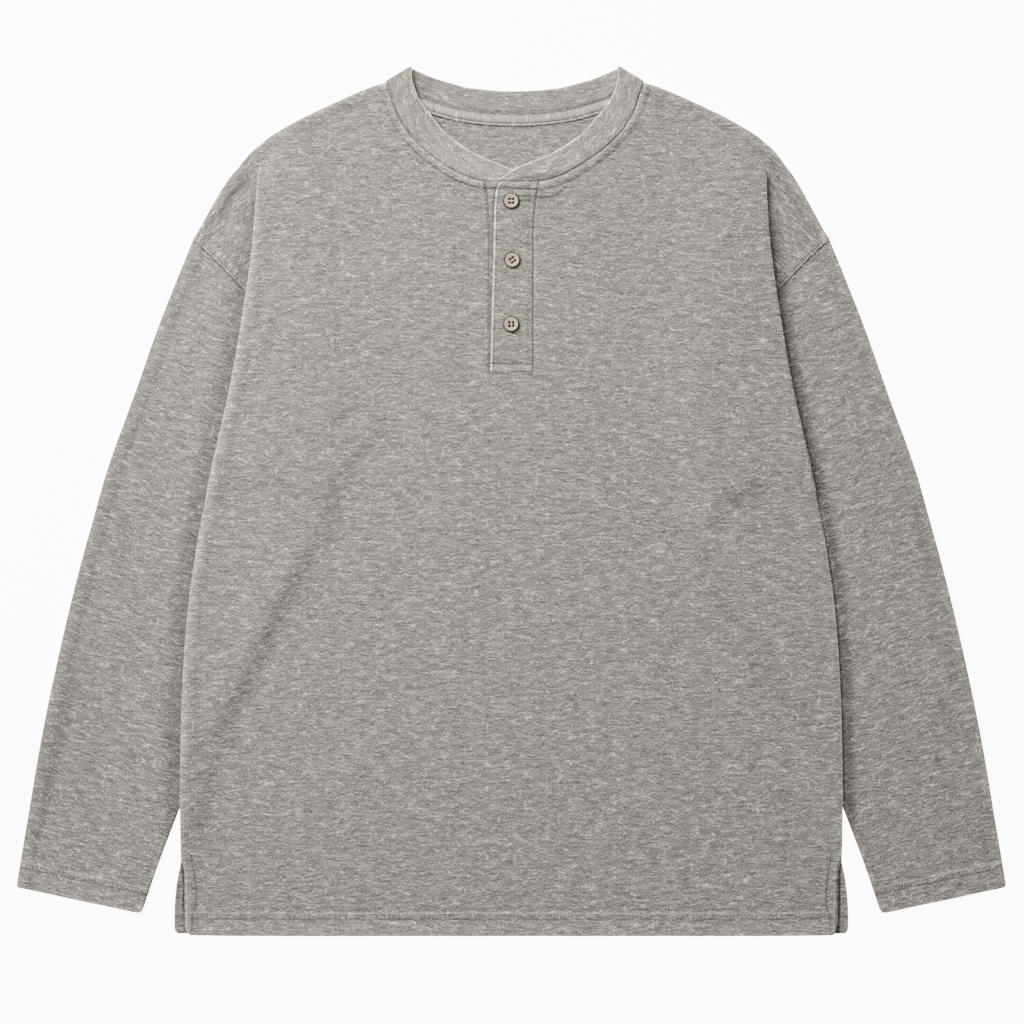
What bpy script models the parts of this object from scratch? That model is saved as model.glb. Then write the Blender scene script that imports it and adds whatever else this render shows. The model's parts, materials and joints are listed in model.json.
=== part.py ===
"""Long-sleeved henley shirt, laid flat on its back with the sleeves folded in under the body.

Frame: +X to the wearer's left, +Y towards the neck, +Z up, origin under the middle of the
shirt on the surface that it lies on. Every size below is in millimetres, and the meshes are
scaled to metres as they are made.

The shirt is drawn as it is cut, flat, and one fold map then lays it. Each layer of cloth is
two skins beside a neutral surface: the front lies just above that surface and the back just
below it. At the shoulder a wedge of the cloth is turned under, so that the sleeve swings in
and lies beneath the side of the body.
"""
from collections import namedtuple

import bmesh
import bpy
import numpy as np
from mathutils import Matrix, Vector
from mathutils.geometry import delaunay_2d_cdt

MM = 0.001

# Cloth
WALL = 1.25            # one layer of the knit
GAP = 0.3              # between pieces that touch or are sewn together
NEAR = GAP / 2         # a layer's inner skin, from the neutral surface
FAR = NEAR + WALL      # its outer skin
TURN = 1.6             # radius of a fold, at the neutral surface
BAND_THICK = 2.2       # two layers pressed
SOFT_EDGE = 1.2        # width over which a doubled strip's free edge is rounded
ROUND_IN, ROUND_DROP = 0.6, 0.2    # rounding of an outer skin along a seam at the outline
TAPE_THICK, TAPE_WIDTH, TAPE_HALF_LENGTH = 1.0, 9.2, 86.0
TAPE_EDGE = 0.5        # bevel of the tape's lower edge
STRIP_THICK = 1.6

# The fold under each arm
WEDGE = np.radians(18.5)      # cloth turned under; the sleeve swings in by twice this
UNDERARM_Y = 18.0
# The body sinks loosely beside the hidden fold, and closely beside the hidden underseam
LOOSE_DRAPE, CLOSE_DRAPE = 75.0, 22.0
CLOSE_FROM, CLOSE_LENGTH = 245.0, 50.0    # distance from the apex where the one becomes the other
CLOSE_TURN = np.radians(5.0)              # and the angle over which it does so beyond the fold
DRAPE_MARGIN = 5.0
CURL_LENGTH = 90.0            # length over which the side seam's curl dies away below the underarm
BOW_FROM, BOW_LENGTH = 60.0, 140.0

# The neck's place on the shirt as it lies, and how the front rises over the back neckband
LEAN, LEAN_FROM, LEAN_LENGTH = 3.0, 250.0, 90.0
NECK_RISE, NECK_RISE_WIDTH = 1.4, 45.0
RISE_FROM, RISE_LENGTH, RISE_FROM_SHOULDER = 300.0, 35.0, 16.0
LAP_FROM, LAP_LENGTH = 23.0, 14.0    # where the upper end of the band climbs over the lower one
FOLD_SEAM_GAP = 0.8    # more room on each side of a seam that goes round a fold

# Placket: a slot in the front, filled by the under strip, with the over strip on top
NOTCH_HALF = 18.5
NOTCH_Y = 111.0
UNDER_RIGHT, UNDER_BOTTOM = 12.0, 126.0
OVER_LEFT_TOP, OVER_LEFT_BOTTOM = -12.6, -17.4
OVER_STEP_FROM, OVER_STEP_TO = 12.4, 16.4    # where the over strip steps down to its seam
OVER_END_LENGTH = 9.0                        # and down to the stitched box at its lower end
OVER_END_UP = 3.0                            # height of that box's seam above the slot's end
BAND_END_Y = 274.0
BUTTON_HOLE_RADIUS, BUTTON_HOLE_OFF = 0.85, 1.3
BUTTON_SEGMENTS, HOLE_SEGMENTS = 32, 10

# Hem
HEM_Y = -374.1
BACK_HEM_RISE = 2.6

Side = namedtuple("Side", "y half_width")
Point = namedtuple("Point", "x y")
Button = namedtuple("Button", "name x y")
Turned = namedtuple("Turned", "radius height")
Section = namedtuple("Section", "seam free normal")
Edge = namedtuple("Edge", "back level")

# Edge of the body as it lies, from the fold's apex at the shoulder to the top of the vent
SIDE = [
    Side(289.0, 217.6), Side(229.6, 222.1), Side(177.2, 229.2), Side(100.6, 242.5),
    Side(29.2, 258.0), Side(-36.1, 269.7), Side(-97.2, 278.4), Side(-171.1, 282.9),
    Side(-257.1, 284.7), Side(-308.7, 284.2),
]
# Shoulder line as cut, from the neck to the top of the sleeve
SHOULDER = [
    Point(111.2, 360.4), Point(121.7, 357.0), Point(138.9, 349.4), Point(156.1, 341.4),
    Point(173.3, 333.2), Point(190.5, 324.4), Point(206.0, 314.8), Point(218.7, 305.5),
    Point(232.9, 299.0), Point(255.9, 293.2), Point(280.9, 285.4), Point(304.2, 276.8),
]
# Armhole seam as cut, down to the underarm, which the fold's geometry gives
ARMHOLE = [
    Point(304.2, 276.8), Point(299.1, 249.8), Point(294.9, 216.5), Point(287.0, 165.0),
    Point(277.5, 110.0), Point(267.0, 58.0),
]
# Top of the sleeve and its underseam as cut, from the body to the cuff
SLEEVE_TOP = [
    Point(304.2, 276.8), Point(337.7, 257.9), Point(384.5, 228.6), Point(443.2, 186.6),
    Point(499.9, 143.3), Point(556.4, 99.6), Point(610.9, 54.5), Point(663.6, 8.1),
    Point(714.3, -39.8), Point(755.5, -78.7),
]
UNDERSEAM = [
    Point(270.6, 32.3), Point(287.4, 41.0), Point(311.0, 42.5), Point(334.5, 36.5),
    Point(351.3, 25.1), Point(380.0, 10.4), Point(414.4, -6.2), Point(449.4, -23.6),
    Point(486.7, -43.1), Point(522.7, -61.1), Point(557.2, -80.2), Point(580.6, -93.2),
    Point(595.9, -102.1), Point(615.1, -114.6), Point(645.4, -134.8), Point(667.7, -150.3),
    Point(683.7, -161.4),
]
CUFF_MIDDLE = Point(721.2, -121.5)
# Neck seam of the front, and free edge of the band above it, from the shoulder to the middle
FRONT_SEAM = [
    Point(111.2, 360.4), Point(106.3, 346.6), Point(101.5, 332.8), Point(93.3, 319.1),
    Point(84.3, 309.2), Point(73.1, 299.7), Point(57.2, 289.0), Point(40.4, 280.4),
    Point(22.0, 275.0), Point(0.0, 274.0),
]
FRONT_FREE = [
    Point(88.2, 372.4), Point(88.4, 363.6), Point(85.9, 353.6), Point(80.8, 342.5),
    Point(72.3, 331.6), Point(61.9, 318.6), Point(46.1, 306.2), Point(30.1, 297.0),
    Point(12.5, 289.6),
]
# Where the free edge and the seam go on at the band's two ends, past the middle
OVER_END = [Point(2.8, 285.6), Point(-6.7, 278.6), Point(-12.2, 275.5)], -12.2
UNDER_END = [Point(2.0, 285.4), Point(-8.0, 281.5)], -8.0
# Neck seam of the back and free edge of the band above it
BACK_SEAM = [
    Point(111.2, 360.4), Point(95.5, 351.6), Point(79.6, 345.1), Point(62.0, 339.2),
    Point(45.0, 335.0), Point(22.0, 332.1), Point(0.0, 331.3),
]
BACK_FREE = [
    Point(88.2, 372.4), Point(70.8, 363.3), Point(51.7, 358.0), Point(35.3, 354.6),
    Point(13.0, 352.5), Point(0.0, 352.3),
]
# Edges of the vents, from the top of the vent to the hem
FRONT_VENT = [Point(283.7, -308.7), Point(281.0, -318.0), Point(280.6, -345.0), Point(279.6, HEM_Y)]
BACK_VENT = [
    Point(283.7, -308.7), Point(287.6, -328.0), Point(289.6, -348.0),
    Point(289.8, HEM_Y + BACK_HEM_RISE),
]
BUTTONS = [
    Button("button_1", 0.0, 257.1), Button("button_2", 0.9, 206.4), Button("button_3", 0.0, 151.4),
]
# Half section of a button, from the middle of its face round to the middle of its back
BUTTON_PROFILE = [
    Turned(0.0, 1.6), Turned(3.7, 1.6), Turned(4.3, 2.2), Turned(5.3, 2.4), Turned(6.0, 2.1),
    Turned(6.3, 1.3), Turned(6.1, 0.5), Turned(5.2, 0.0), Turned(0.0, 0.0),
]

# Rounded free edge of a doubled strip: share of SOFT_EDGE back from the end, share of half its height
ROUNDED = [Edge(1.0, 1.0), Edge(0.3, 0.6), Edge(0.0, 0.0), Edge(0.3, -0.6), Edge(1.0, -1.0)]
# Rows of the over strip between the neck seam and the end of the slot
OVER_ROWS = (262.0, 240.0, 205.0, 170.0, 140.0, 124.0, 120.0, 116.5, 113.5)
UNDER_ROWS = 6

# Steps of the meshes
OUTLINE_STEP = 22.0
NECK_STEP, SHOULDER_STEP, VENT_STEP, SLEEVE_EDGE_STEP, SLOT_STEP = 13.0, 14.0, 16.0, 26.0, 50.0
BAND_FRONT_SECTIONS, BAND_BACK_SECTIONS = 18, 10
TAPE_STEP, TAPE_EVERY = 2.0, 6
BAND_TURN_ANGLES = np.radians((36.0, 72.0, 108.0, 144.0))
FINE_STEP, COARSE_STEP, SLEEVE_STEP = 22.0, 48.0, 44.0
FINE_FROM = 105.0
TURN_STEPS = 4
FOLD_ROWS = (4.0, 8.0, 12.0, 17.0, 22.5, 34.0, 52.0, 76.0, 104.0, 136.0, 170.0, 206.0, 242.0,
             280.0, 318.0, 356.0, 392.0)
FAN_ROWS = (11.0, 24.0, 42.0)
FAN_FROM, FAN_TO, FAN_STEP = np.radians((45.0, 340.0, 30.0))    # from the start of the fold
DRAPE_SHARES = (0.0, 0.3, 0.7, 1.0)
DRAPE_STEP, DRAPE_EVERY = 20.0, 4
CLEAR_OF_OUTLINE, CLEAR_OF_POINTS, CLEAR_OF_FAN = 7.0, 11.0, 6.6
FOLD_REACH = 1.25             # the fold's widest angle, in wedges


def smooth(t):
    """0 to 1 with level ends."""
    t = np.clip(t, 0.0, 1.0)
    return t * t * (3.0 - 2.0 * t)


def through(rows, step=OUTLINE_STEP):
    """Evenly spaced points on a smooth curve through a table's rows, ends included."""
    p = np.array(rows, float)
    ends = np.vstack([2 * p[0] - p[1], p, 2 * p[-1] - p[-2]])
    t = np.linspace(0.0, 1.0, 17)[:-1, None]
    dense = []
    for a, b, c, d in zip(ends, ends[1:], ends[2:], ends[3:]):
        dense.append(0.5 * (2 * b + (c - a) * t + (2 * a - 5 * b + 4 * c - d) * t**2
                            + (3 * b - a - 3 * c + d) * t**3))
    dense = np.vstack(dense + [p[-1:]])
    run = np.concatenate([[0.0], np.cumsum(np.hypot(*np.diff(dense, axis=0).T))])
    count = max(1, int(round(run[-1] / step)))
    at = np.linspace(0.0, run[-1], count + 1)
    return np.stack([np.interp(at, run, dense[:, k]) for k in range(p.shape[1])], axis=1)


SIDE_CURVE = through(SIDE, 4.0)
UNDERARM_STEP = 6.0


def side_half_width(y):
    return np.interp(-y, -SIDE_CURVE[:, 0], SIDE_CURVE[:, 1])


def hinge(y):
    """Where the body's cloth starts to turn under, as it lies."""
    return side_half_width(y) - TURN - FAR


APEX = np.array([hinge(SIDE[0].y), SIDE[0].y])
QUARTER = TURN * np.pi / 2
FOLD_ANGLE = np.arctan2(hinge(UNDERARM_Y) - APEX[0], APEX[1] - UNDERARM_Y)
UNDERARM_RUN = (APEX[1] - UNDERARM_Y) / np.cos(FOLD_ANGLE)
WHOLE_FOLD_RUN = np.pi * TURN / WEDGE       # distance from the apex where the fold lies closed


def from_apex(run, angle):
    """A point by its distance from the apex and its angle, from straight down to the outside."""
    return np.stack([APEX[0] + run * np.sin(angle), APEX[1] - run * np.cos(angle)], axis=-1)


UNDERARM = from_apex(UNDERARM_RUN, FOLD_ANGLE + QUARTER / UNDERARM_RUN)


def fold_sizes(run):
    """Angle of each turn, length of the straight part between the turns, and cloth taken up."""
    turn = np.pi * np.minimum(1.0, run / WHOLE_FOLD_RUN)
    straight = np.maximum(0.0, WEDGE * run - np.pi * TURN)
    return turn, straight, 2 * TURN * (turn - np.sin(turn)) + 2 * straight


def bow(x, y):
    """Sideways shift that gives the straight fold the soft curve of the body's edge."""
    line = APEX[0] + np.tan(FOLD_ANGLE) * (APEX[1] - y)
    shift = np.where((y > UNDERARM_Y) & (y < APEX[1]), hinge(y) - line, 0.0)
    return shift * smooth((x - BOW_FROM) / BOW_LENGTH)


def fold_sideways(run, angle):
    """Angle as laid, drop below the fold's start, and tilt of the cloth."""
    turn, straight, taken = fold_sizes(run)
    s = run * (angle - FOLD_ANGLE)
    flat = np.zeros_like(s)
    tilt = np.select(
        [s <= 0, s < TURN * turn, s < TURN * turn + straight, s < 2 * TURN * turn + straight],
        [flat, s / TURN, turn, 2 * turn - (s - straight) / TURN], flat)
    across = np.select(
        [s <= 0, s < TURN * turn, s < TURN * turn + straight, s < 2 * TURN * turn + straight],
        [s, TURN * np.sin(tilt), TURN * np.sin(turn) + (s - TURN * turn) * np.cos(turn),
         2 * TURN * np.sin(turn) - TURN * np.sin(tilt) + straight * np.cos(turn)],
        s - taken * (1 - smooth((angle - np.pi / 2) / (np.pi / 2))))
    drop = np.select(
        [s <= 0, s < TURN * turn, s < TURN * turn + straight, s < 2 * TURN * turn + straight],
        [flat, TURN * (1 - np.cos(tilt)),
         TURN * (1 - np.cos(turn)) + (s - TURN * turn) * np.sin(turn),
         TURN * (1 + np.cos(tilt) - 2 * np.cos(turn)) + straight * np.sin(turn)],
        2 * TURN * (1 - np.cos(turn)))
    return FOLD_ANGLE + across / np.maximum(run, 1e-6), drop, tilt


def polar(x, y):
    return np.hypot(x - APEX[0], APEX[1] - y), np.arctan2(x - APEX[0], APEX[1] - y)


UNDERSEAM_CURVE = through([Point(*UNDERARM)] + UNDERSEAM)
ARMHOLE_CURVE = through(ARMHOLE + [Point(*UNDERARM)])


def laid_underseam():
    """The hidden underseam as it lies: the part that is turned under, then the part beyond."""
    run, angle = polar(*through([Point(*UNDERARM)] + UNDERSEAM, UNDERARM_STEP).T)
    laid = fold_sideways(run, angle)[0]
    points = from_apex(run, laid)
    under = angle < FOLD_ANGLE + WEDGE
    return points[under], points[~under]


UNDER_PART, OUTER_PART = laid_underseam()
FAR_OUT = 900.0
SLEEVE_AREA = np.vstack([APEX[None], OUTER_PART, [[FAR_OUT, OUTER_PART[-1, 1]], [FAR_OUT, APEX[1]]]])
FOLD_AREA = np.vstack([APEX[None], UNDER_PART[::-1]])


def inside(points, loop):
    x, y = points[:, :1], points[:, 1:]
    ax, ay = loop.T
    bx, by = np.roll(loop, -1, axis=0).T
    crosses = (ay > y) != (by > y)
    with np.errstate(divide="ignore", invalid="ignore"):
        hit = x < (bx - ax) * (y - ay) / (by - ay) + ax
    return (crosses & hit).sum(axis=1) % 2 == 1


def distance(points, line, closed=False):
    ends = np.vstack([line, line[:1]]) if closed else line
    a, b = ends[:-1], ends[1:]
    along = b - a
    t = ((points[:, None] - a) * along).sum(-1) / np.maximum((along**2).sum(-1), 1e-12)
    nearest = a + np.clip(t, 0, 1)[..., None] * along
    return np.hypot(*(points[:, None] - nearest).transpose(2, 0, 1)).min(axis=1)


def drape_length(points):
    run, angle = polar(*points.T)
    close = np.maximum(smooth((run - CLOSE_FROM) / CLOSE_LENGTH),
                       smooth((angle - FOLD_ANGLE + WEDGE) / CLOSE_TURN))
    return LOOSE_DRAPE + (CLOSE_DRAPE - LOOSE_DRAPE) * close


def drape_lines(edge):
    """Lines beside the edge of a hidden layer, on its right as it runs, where the body sinks."""
    along = np.gradient(edge, axis=0)
    right = np.stack([along[:, 1], -along[:, 0]], axis=1) / np.hypot(*along.T)[:, None]
    reach = drape_length(edge)[:, None]
    return [edge + right * (DRAPE_MARGIN + share * reach) for share in DRAPE_SHARES]


def sunk(points, area):
    """1 over a hidden layer, down to 0 where the cloth has sunk to the layer below."""
    away = np.where(inside(points, area), 0.0, distance(points, area, closed=True))
    return 1 - smooth((away - DRAPE_MARGIN) / drape_length(points))


def level(x, y, run, angle, drop):
    """Height of the neutral surface, where the drop of the fold has been taken off."""
    points = np.stack([x, y], axis=1)
    whole = fold_sizes(run)[0]
    closed = (1 - np.cos(whole)) / 2
    over = sunk(points, SLEEVE_AREA) + sunk(points, FOLD_AREA) * closed
    outer = 1 - closed
    behind = np.abs(angle) > np.pi / 2
    share = np.where(behind, 0.5 + 0.5 * smooth((np.pi - np.abs(angle)) / (np.pi / 2))
                     * -np.sign(angle), np.where(angle > FOLD_ANGLE, 0.0, 1.0))
    folded = (angle > FOLD_ANGLE) & ~behind
    stack = np.where(folded, 1 + closed, share * over + (1 - share) * outer)
    return FAR + 2 * TURN * stack - np.where(folded, drop, 0.0)


def lay(cut, body):
    """Where points of the flat cut lie: the neutral surface and its normal."""
    side = np.where(cut[:, 0] < 0, -1.0, 1.0)
    x, y = np.abs(cut[:, 0]), cut[:, 1]
    run, angle = polar(x, y)
    laid, drop, tilt = fold_sideways(run, angle)
    if body:
        # Below the underarm there is no fold: the side seam only curls, less and less.
        low = y < UNDERARM_Y
        curl = 1 - smooth((UNDERARM_Y - y) / CURL_LENGTH)
        beyond = np.maximum(0.0, x - hinge(y)) * low
        tilt = np.where(low, beyond / TURN * curl, tilt)
        angle = np.where(low, np.minimum(angle, FOLD_ANGLE), angle)
    place = from_apex(run, laid)
    across = np.stack([np.cos(laid), np.sin(laid)], axis=1)
    if body:
        shrink = np.sinc(tilt / np.pi)
        curled_x = x - beyond * (1 - shrink)
        place = np.where(low[:, None], np.stack([curled_x, y], axis=1), place)
        across = np.where(low[:, None], [[1.0, 0.0]], across)
        drop = np.where(low, beyond * (1 - np.cos(tilt)) / np.maximum(tilt, 1e-9), drop)
    height = level(place[:, 0], place[:, 1], run, angle, drop)
    if body:
        height = height - np.where(low, drop, 0.0)
    normal = np.column_stack([across * np.sin(tilt)[:, None], np.cos(tilt)])
    place[:, 0] += bow(place[:, 0], place[:, 1])
    place[:, 0] *= side
    normal[:, 0] *= side
    place[:, 0] += LEAN * smooth((place[:, 1] - LEAN_FROM) / LEAN_LENGTH)
    return np.column_stack([place, height]), normal


SHOULDER_CURVE = through(SHOULDER, SHOULDER_STEP)
NECK_CURVE = through(FRONT_SEAM, NECK_STEP)


def neck_rise(cut):
    """How far the front is lifted beside the neck, where it lies over the back neckband."""
    half = np.column_stack([np.abs(cut[:, 0]), cut[:, 1]])
    near = 1 - smooth(distance(half, NECK_CURVE) / NECK_RISE_WIDTH)
    return (NECK_RISE * near * smooth((cut[:, 1] - RISE_FROM) / RISE_LENGTH)
            * smooth(distance(half, SHOULDER_CURVE) / RISE_FROM_SHOULDER))


def chain(points, start):
    return [(start + i, start + i + 1) for i in range(len(points) - 1)]


def outlines():
    """Every seam and edge of the right half as cut, by name."""
    side_y = np.arange(UNDERARM_Y, SIDE[-1].y, -OUTLINE_STEP)[1:]
    side = np.column_stack([side_half_width(side_y) - TURN - FAR + QUARTER, side_y])
    vent = np.array([[SIDE[-1].half_width - TURN - FAR + QUARTER, SIDE[-1].y]])
    fold = from_apex(np.arange(CLOSE_FROM, UNDERARM_RUN, DRAPE_STEP), FOLD_ANGLE - WEDGE)
    inner = drape_lines(np.vstack([fold, OUTER_PART[::DRAPE_EVERY]]))
    under = drape_lines(UNDER_PART[::-DRAPE_EVERY])
    draped = {f"drape_{i}": line for i, line in enumerate(inner + under)}
    front_vent = through([Point(*vent[0])] + FRONT_VENT[1:], VENT_STEP)
    back_vent = through([Point(*vent[0])] + BACK_VENT[1:], VENT_STEP)
    slot_top = np.interp(NOTCH_HALF, NECK_CURVE[::-1, 0], NECK_CURVE[::-1, 1]) - NEAR
    slot = through([Point(NOTCH_HALF, slot_top), Point(NOTCH_HALF, NOTCH_Y)], SLOT_STEP)
    return {
        "shoulder": SHOULDER_CURVE,
        "armhole": ARMHOLE_CURVE,
        "side": np.vstack([UNDERARM[None], side, vent]),
        "front_vent": front_vent,
        "back_vent": back_vent,
        "front_hem": through([Point(*front_vent[-1]), Point(0.0, HEM_Y)], COARSE_STEP),
        "back_hem": through([Point(*back_vent[-1]), Point(0.0, HEM_Y + BACK_HEM_RISE)], COARSE_STEP),
        "middle": through([Point(0.0, HEM_Y), Point(0.0, BACK_SEAM[-1].y)], COARSE_STEP),
        "neck": NECK_CURVE,
        "back_neck": through(BACK_SEAM, NECK_STEP),
        "notch": np.vstack([slot, [[0.0, NOTCH_Y]]]),
        "sleeve_top": through(SLEEVE_TOP, SLEEVE_EDGE_STEP),
        "underseam": UNDERSEAM_CURVE,
        "cuff": through([SLEEVE_TOP[-1], CUFF_MIDDLE, UNDERSEAM[-1]], SLEEVE_EDGE_STEP),
        **draped,
    }


def piece_loops(lines):
    """Closed outline of each piece's right half."""
    neck = lines["neck"][lines["neck"][:, 0] > NOTCH_HALF][::-1]
    body = [lines["shoulder"], lines["armhole"], lines["side"]]
    front = np.vstack([lines["notch"][::-1], neck] + body + [lines["front_vent"], lines["front_hem"]])
    back = np.vstack([lines["back_neck"][::-1]] + body + [lines["back_vent"], lines["back_hem"]])
    sleeve = np.vstack([lines["sleeve_top"], lines["cuff"], lines["underseam"][::-1],
                        lines["armhole"][::-1]])
    return {"front": front, "back": back, "sleeve": sleeve}


def fold_grid():
    """Rows and columns of points across the fold, and the edges between them."""
    points, edges, before = [APEX], [], None
    for run in FOLD_ROWS:
        turn, straight, _ = fold_sizes(np.array(run))
        arc = np.linspace(0.0, 1.0, TURN_STEPS + 1) * TURN * turn
        closed = int(straight > 0)
        s = np.concatenate([arc, arc[1 - closed:] + TURN * turn + straight])
        start = len(points)
        points.extend(from_apex(run, FOLD_ANGLE + s / run))
        edges.extend(chain(s, start))
        if before is None:
            edges.extend((0, start + i) for i in range(len(s)))
        elif len(s) == before[1]:
            edges.extend((before[0] + i, start + i) for i in range(len(s)))
        else:
            skip = TURN_STEPS + 1
            edges.extend((before[0] + i - (i >= skip), start + i) for i in range(len(s)))
        before = (start, len(s))
    return np.array(points), edges


def filler(lines):
    """Points inside the panels: a fan round the apex, a close grid over the drape, a wide one."""
    fan = [from_apex(run, angle) for run in FAN_ROWS
           for angle in FOLD_ANGLE + np.arange(FAN_FROM, FAN_TO, FAN_STEP)]
    top, armhole, cuff = SHOULDER[0], SHOULDER[-1], UNDERSEAM[-1]
    wide = [(x, y) for x in np.arange(0.0, FINE_FROM, COARSE_STEP)[1:]
            for y in np.arange(HEM_Y, top.y, COARSE_STEP)]
    fine = [(x, y) for x in np.arange(FINE_FROM, armhole.x, FINE_STEP)
            for y in np.arange(HEM_Y + FINE_STEP, top.y, FINE_STEP)]
    sleeve = [(x, y) for x in np.arange(armhole.x, SLEEVE_TOP[-1].x, SLEEVE_STEP)
              for y in np.arange(cuff.y, armhole.y, SLEEVE_STEP)]
    kept = np.empty((0, 2))
    for points, apart in ((fan, CLEAR_OF_FAN), (fine, CLEAR_OF_POINTS),
                          (wide, CLEAR_OF_POINTS), (sleeve, CLEAR_OF_POINTS)):
        points = np.array(points)
        run, angle = polar(*points.T)
        clear = np.ones(len(points), bool)
        for line in lines.values():
            clear &= distance(points, line) > CLEAR_OF_OUTLINE
        reach = np.radians(0.4) + CLEAR_OF_OUTLINE / run
        in_fold = (angle > FOLD_ANGLE - reach) & (angle < FOLD_ANGLE + FOLD_REACH * WEDGE + reach)
        clear &= ~(in_fold & (run < FOLD_ROWS[-1]))
        points = points[clear]
        if len(kept):
            apart_by = np.hypot(*(points[:, None] - kept).transpose(2, 0, 1)).min(axis=1)
            points = points[apart_by > apart]
        kept = np.vstack([kept, points])
    return kept


def cut_cloth():
    """One set of triangles for both layers of the right half, and which piece holds each."""
    lines = outlines()
    points, edges = [], []
    for line in lines.values():
        edges.extend(chain(line, len(points)))
        points.extend(line)
    grid, grid_edges = fold_grid()
    edges.extend((a + len(points), b + len(points)) for a, b in grid_edges)
    points.extend(grid)
    points.extend(filler(lines))
    found = delaunay_2d_cdt([Vector(p) for p in points], edges, [], 0, 1e-3)
    verts = np.array([v[:] for v in found[0]])
    tris = np.array([face for face in found[2] if len(face) == 3])
    a, b, c = (verts[tris[:, k]] for k in range(3))
    area = (b - a)[:, 0] * (c - a)[:, 1] - (b - a)[:, 1] * (c - a)[:, 0]
    tris = np.where((area > 0)[:, None], tris, tris[:, ::-1])[np.abs(area) > 1e-6]
    centres = verts[tris].mean(axis=1)
    loops = piece_loops(lines)
    pieces = {name: tris[inside(centres, loop)] for name, loop in loops.items()}
    return verts, pieces, lines


def seam_gap(verts, body):
    """Half the gap along a seam: wider where the seam runs through a fold, whose inside is tight."""
    run, angle = polar(np.abs(verts[:, 0]), verts[:, 1])
    tilt = fold_sideways(run, angle)[2]
    unfolded = body & (verts[:, 1] < UNDERARM_Y - GAP)
    return NEAR + FOLD_SEAM_GAP * np.where(unfolded, 0.0, np.sin(tilt))


def compact(verts, tris):
    used = np.unique(tris)
    index = np.full(len(verts), -1)
    index[used] = np.arange(len(used))
    return verts[used], index[tris]


def both_halves(verts, tris):
    """The half and its mirror image, joined along the middle."""
    verts, tris = compact(verts, tris)
    on_middle = np.abs(verts[:, 0]) < 1e-4
    verts[on_middle, 0] = 0.0
    index = np.arange(len(verts))
    mirrored = np.where(on_middle, index, len(verts) + np.cumsum(~on_middle) - 1)
    other = verts[~on_middle] * [-1.0, 1.0]
    return np.vstack([verts, other]), np.vstack([tris, mirrored[tris][:, ::-1]])


def rim(verts, tris):
    """Directed edges on the outside, and the way inwards at each of their points."""
    directed = np.concatenate([tris[:, [0, 1]], tris[:, [1, 2]], tris[:, [2, 0]]])
    there = set(map(tuple, directed))
    edges = np.array([e for e in map(tuple, directed) if e[::-1] not in there])
    along = verts[edges[:, 1]] - verts[edges[:, 0]]
    along /= np.hypot(*along.T)[:, None]
    inward = np.zeros_like(verts)
    for end in range(2):
        np.add.at(inward, edges[:, end], np.stack([-along[:, 1], along[:, 0]], axis=1))
    length = np.hypot(*inward.T)
    return edges, inward / np.maximum(length, 1e-9)[:, None]


def near_lines(verts, lines, names, within=0.5):
    half = np.column_stack([np.abs(verts[:, 0]), verts[:, 1]])
    return np.min([distance(half, lines[n]) for n in names], axis=0) < within


def add_object(name, verts, faces, material, smooth_angle=40.0):
    mesh = bpy.data.meshes.new(name)
    mesh.from_pydata([tuple(v) for v in np.asarray(verts) * MM], [], [list(map(int, f)) for f in faces])
    mesh.validate()
    mesh.shade_smooth()
    mesh.set_sharp_from_angle(angle=np.radians(smooth_angle))
    mesh.materials.append(material)
    made = bpy.data.objects.new(name, mesh)
    SHIRT.objects.link(made)
    return made


def panel(name, verts, tris, lines, sign, material):
    """A body panel: sign 1 lies above the neutral surface, -1 below it."""
    edges, inward = rim(verts, tris)
    on_rim = np.zeros(len(verts), bool)
    on_rim[edges] = True
    rounded = near_lines(verts, lines, ("shoulder", "side"))
    gap = seam_gap(verts, True)
    outer_cut = verts + inward * (np.where(rounded, ROUND_IN, gap) * on_rim)[:, None]
    inner_cut = verts + inward * (np.where(rounded, 0.0, gap) * on_rim)[:, None]
    outer_w = np.where(on_rim & rounded, FAR - ROUND_DROP, FAR)
    rise = neck_rise(verts) if sign > 0 else 0.0
    place, normal = lay(outer_cut, True)
    outer = place + sign * outer_w[:, None] * normal
    place, normal = lay(inner_cut, True)
    inner = place + sign * NEAR * normal
    outer[:, 2] += rise
    inner[:, 2] += rise
    count = len(verts)
    faces = [t for t in tris[:, ::sign]] + [t + count for t in tris[:, ::-sign]]
    for a, b in edges:
        wall = (a, a + count, b + count, b)
        faces.append(wall[::sign])
    return add_object(name, np.vstack([outer, inner]), faces, material)


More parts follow.
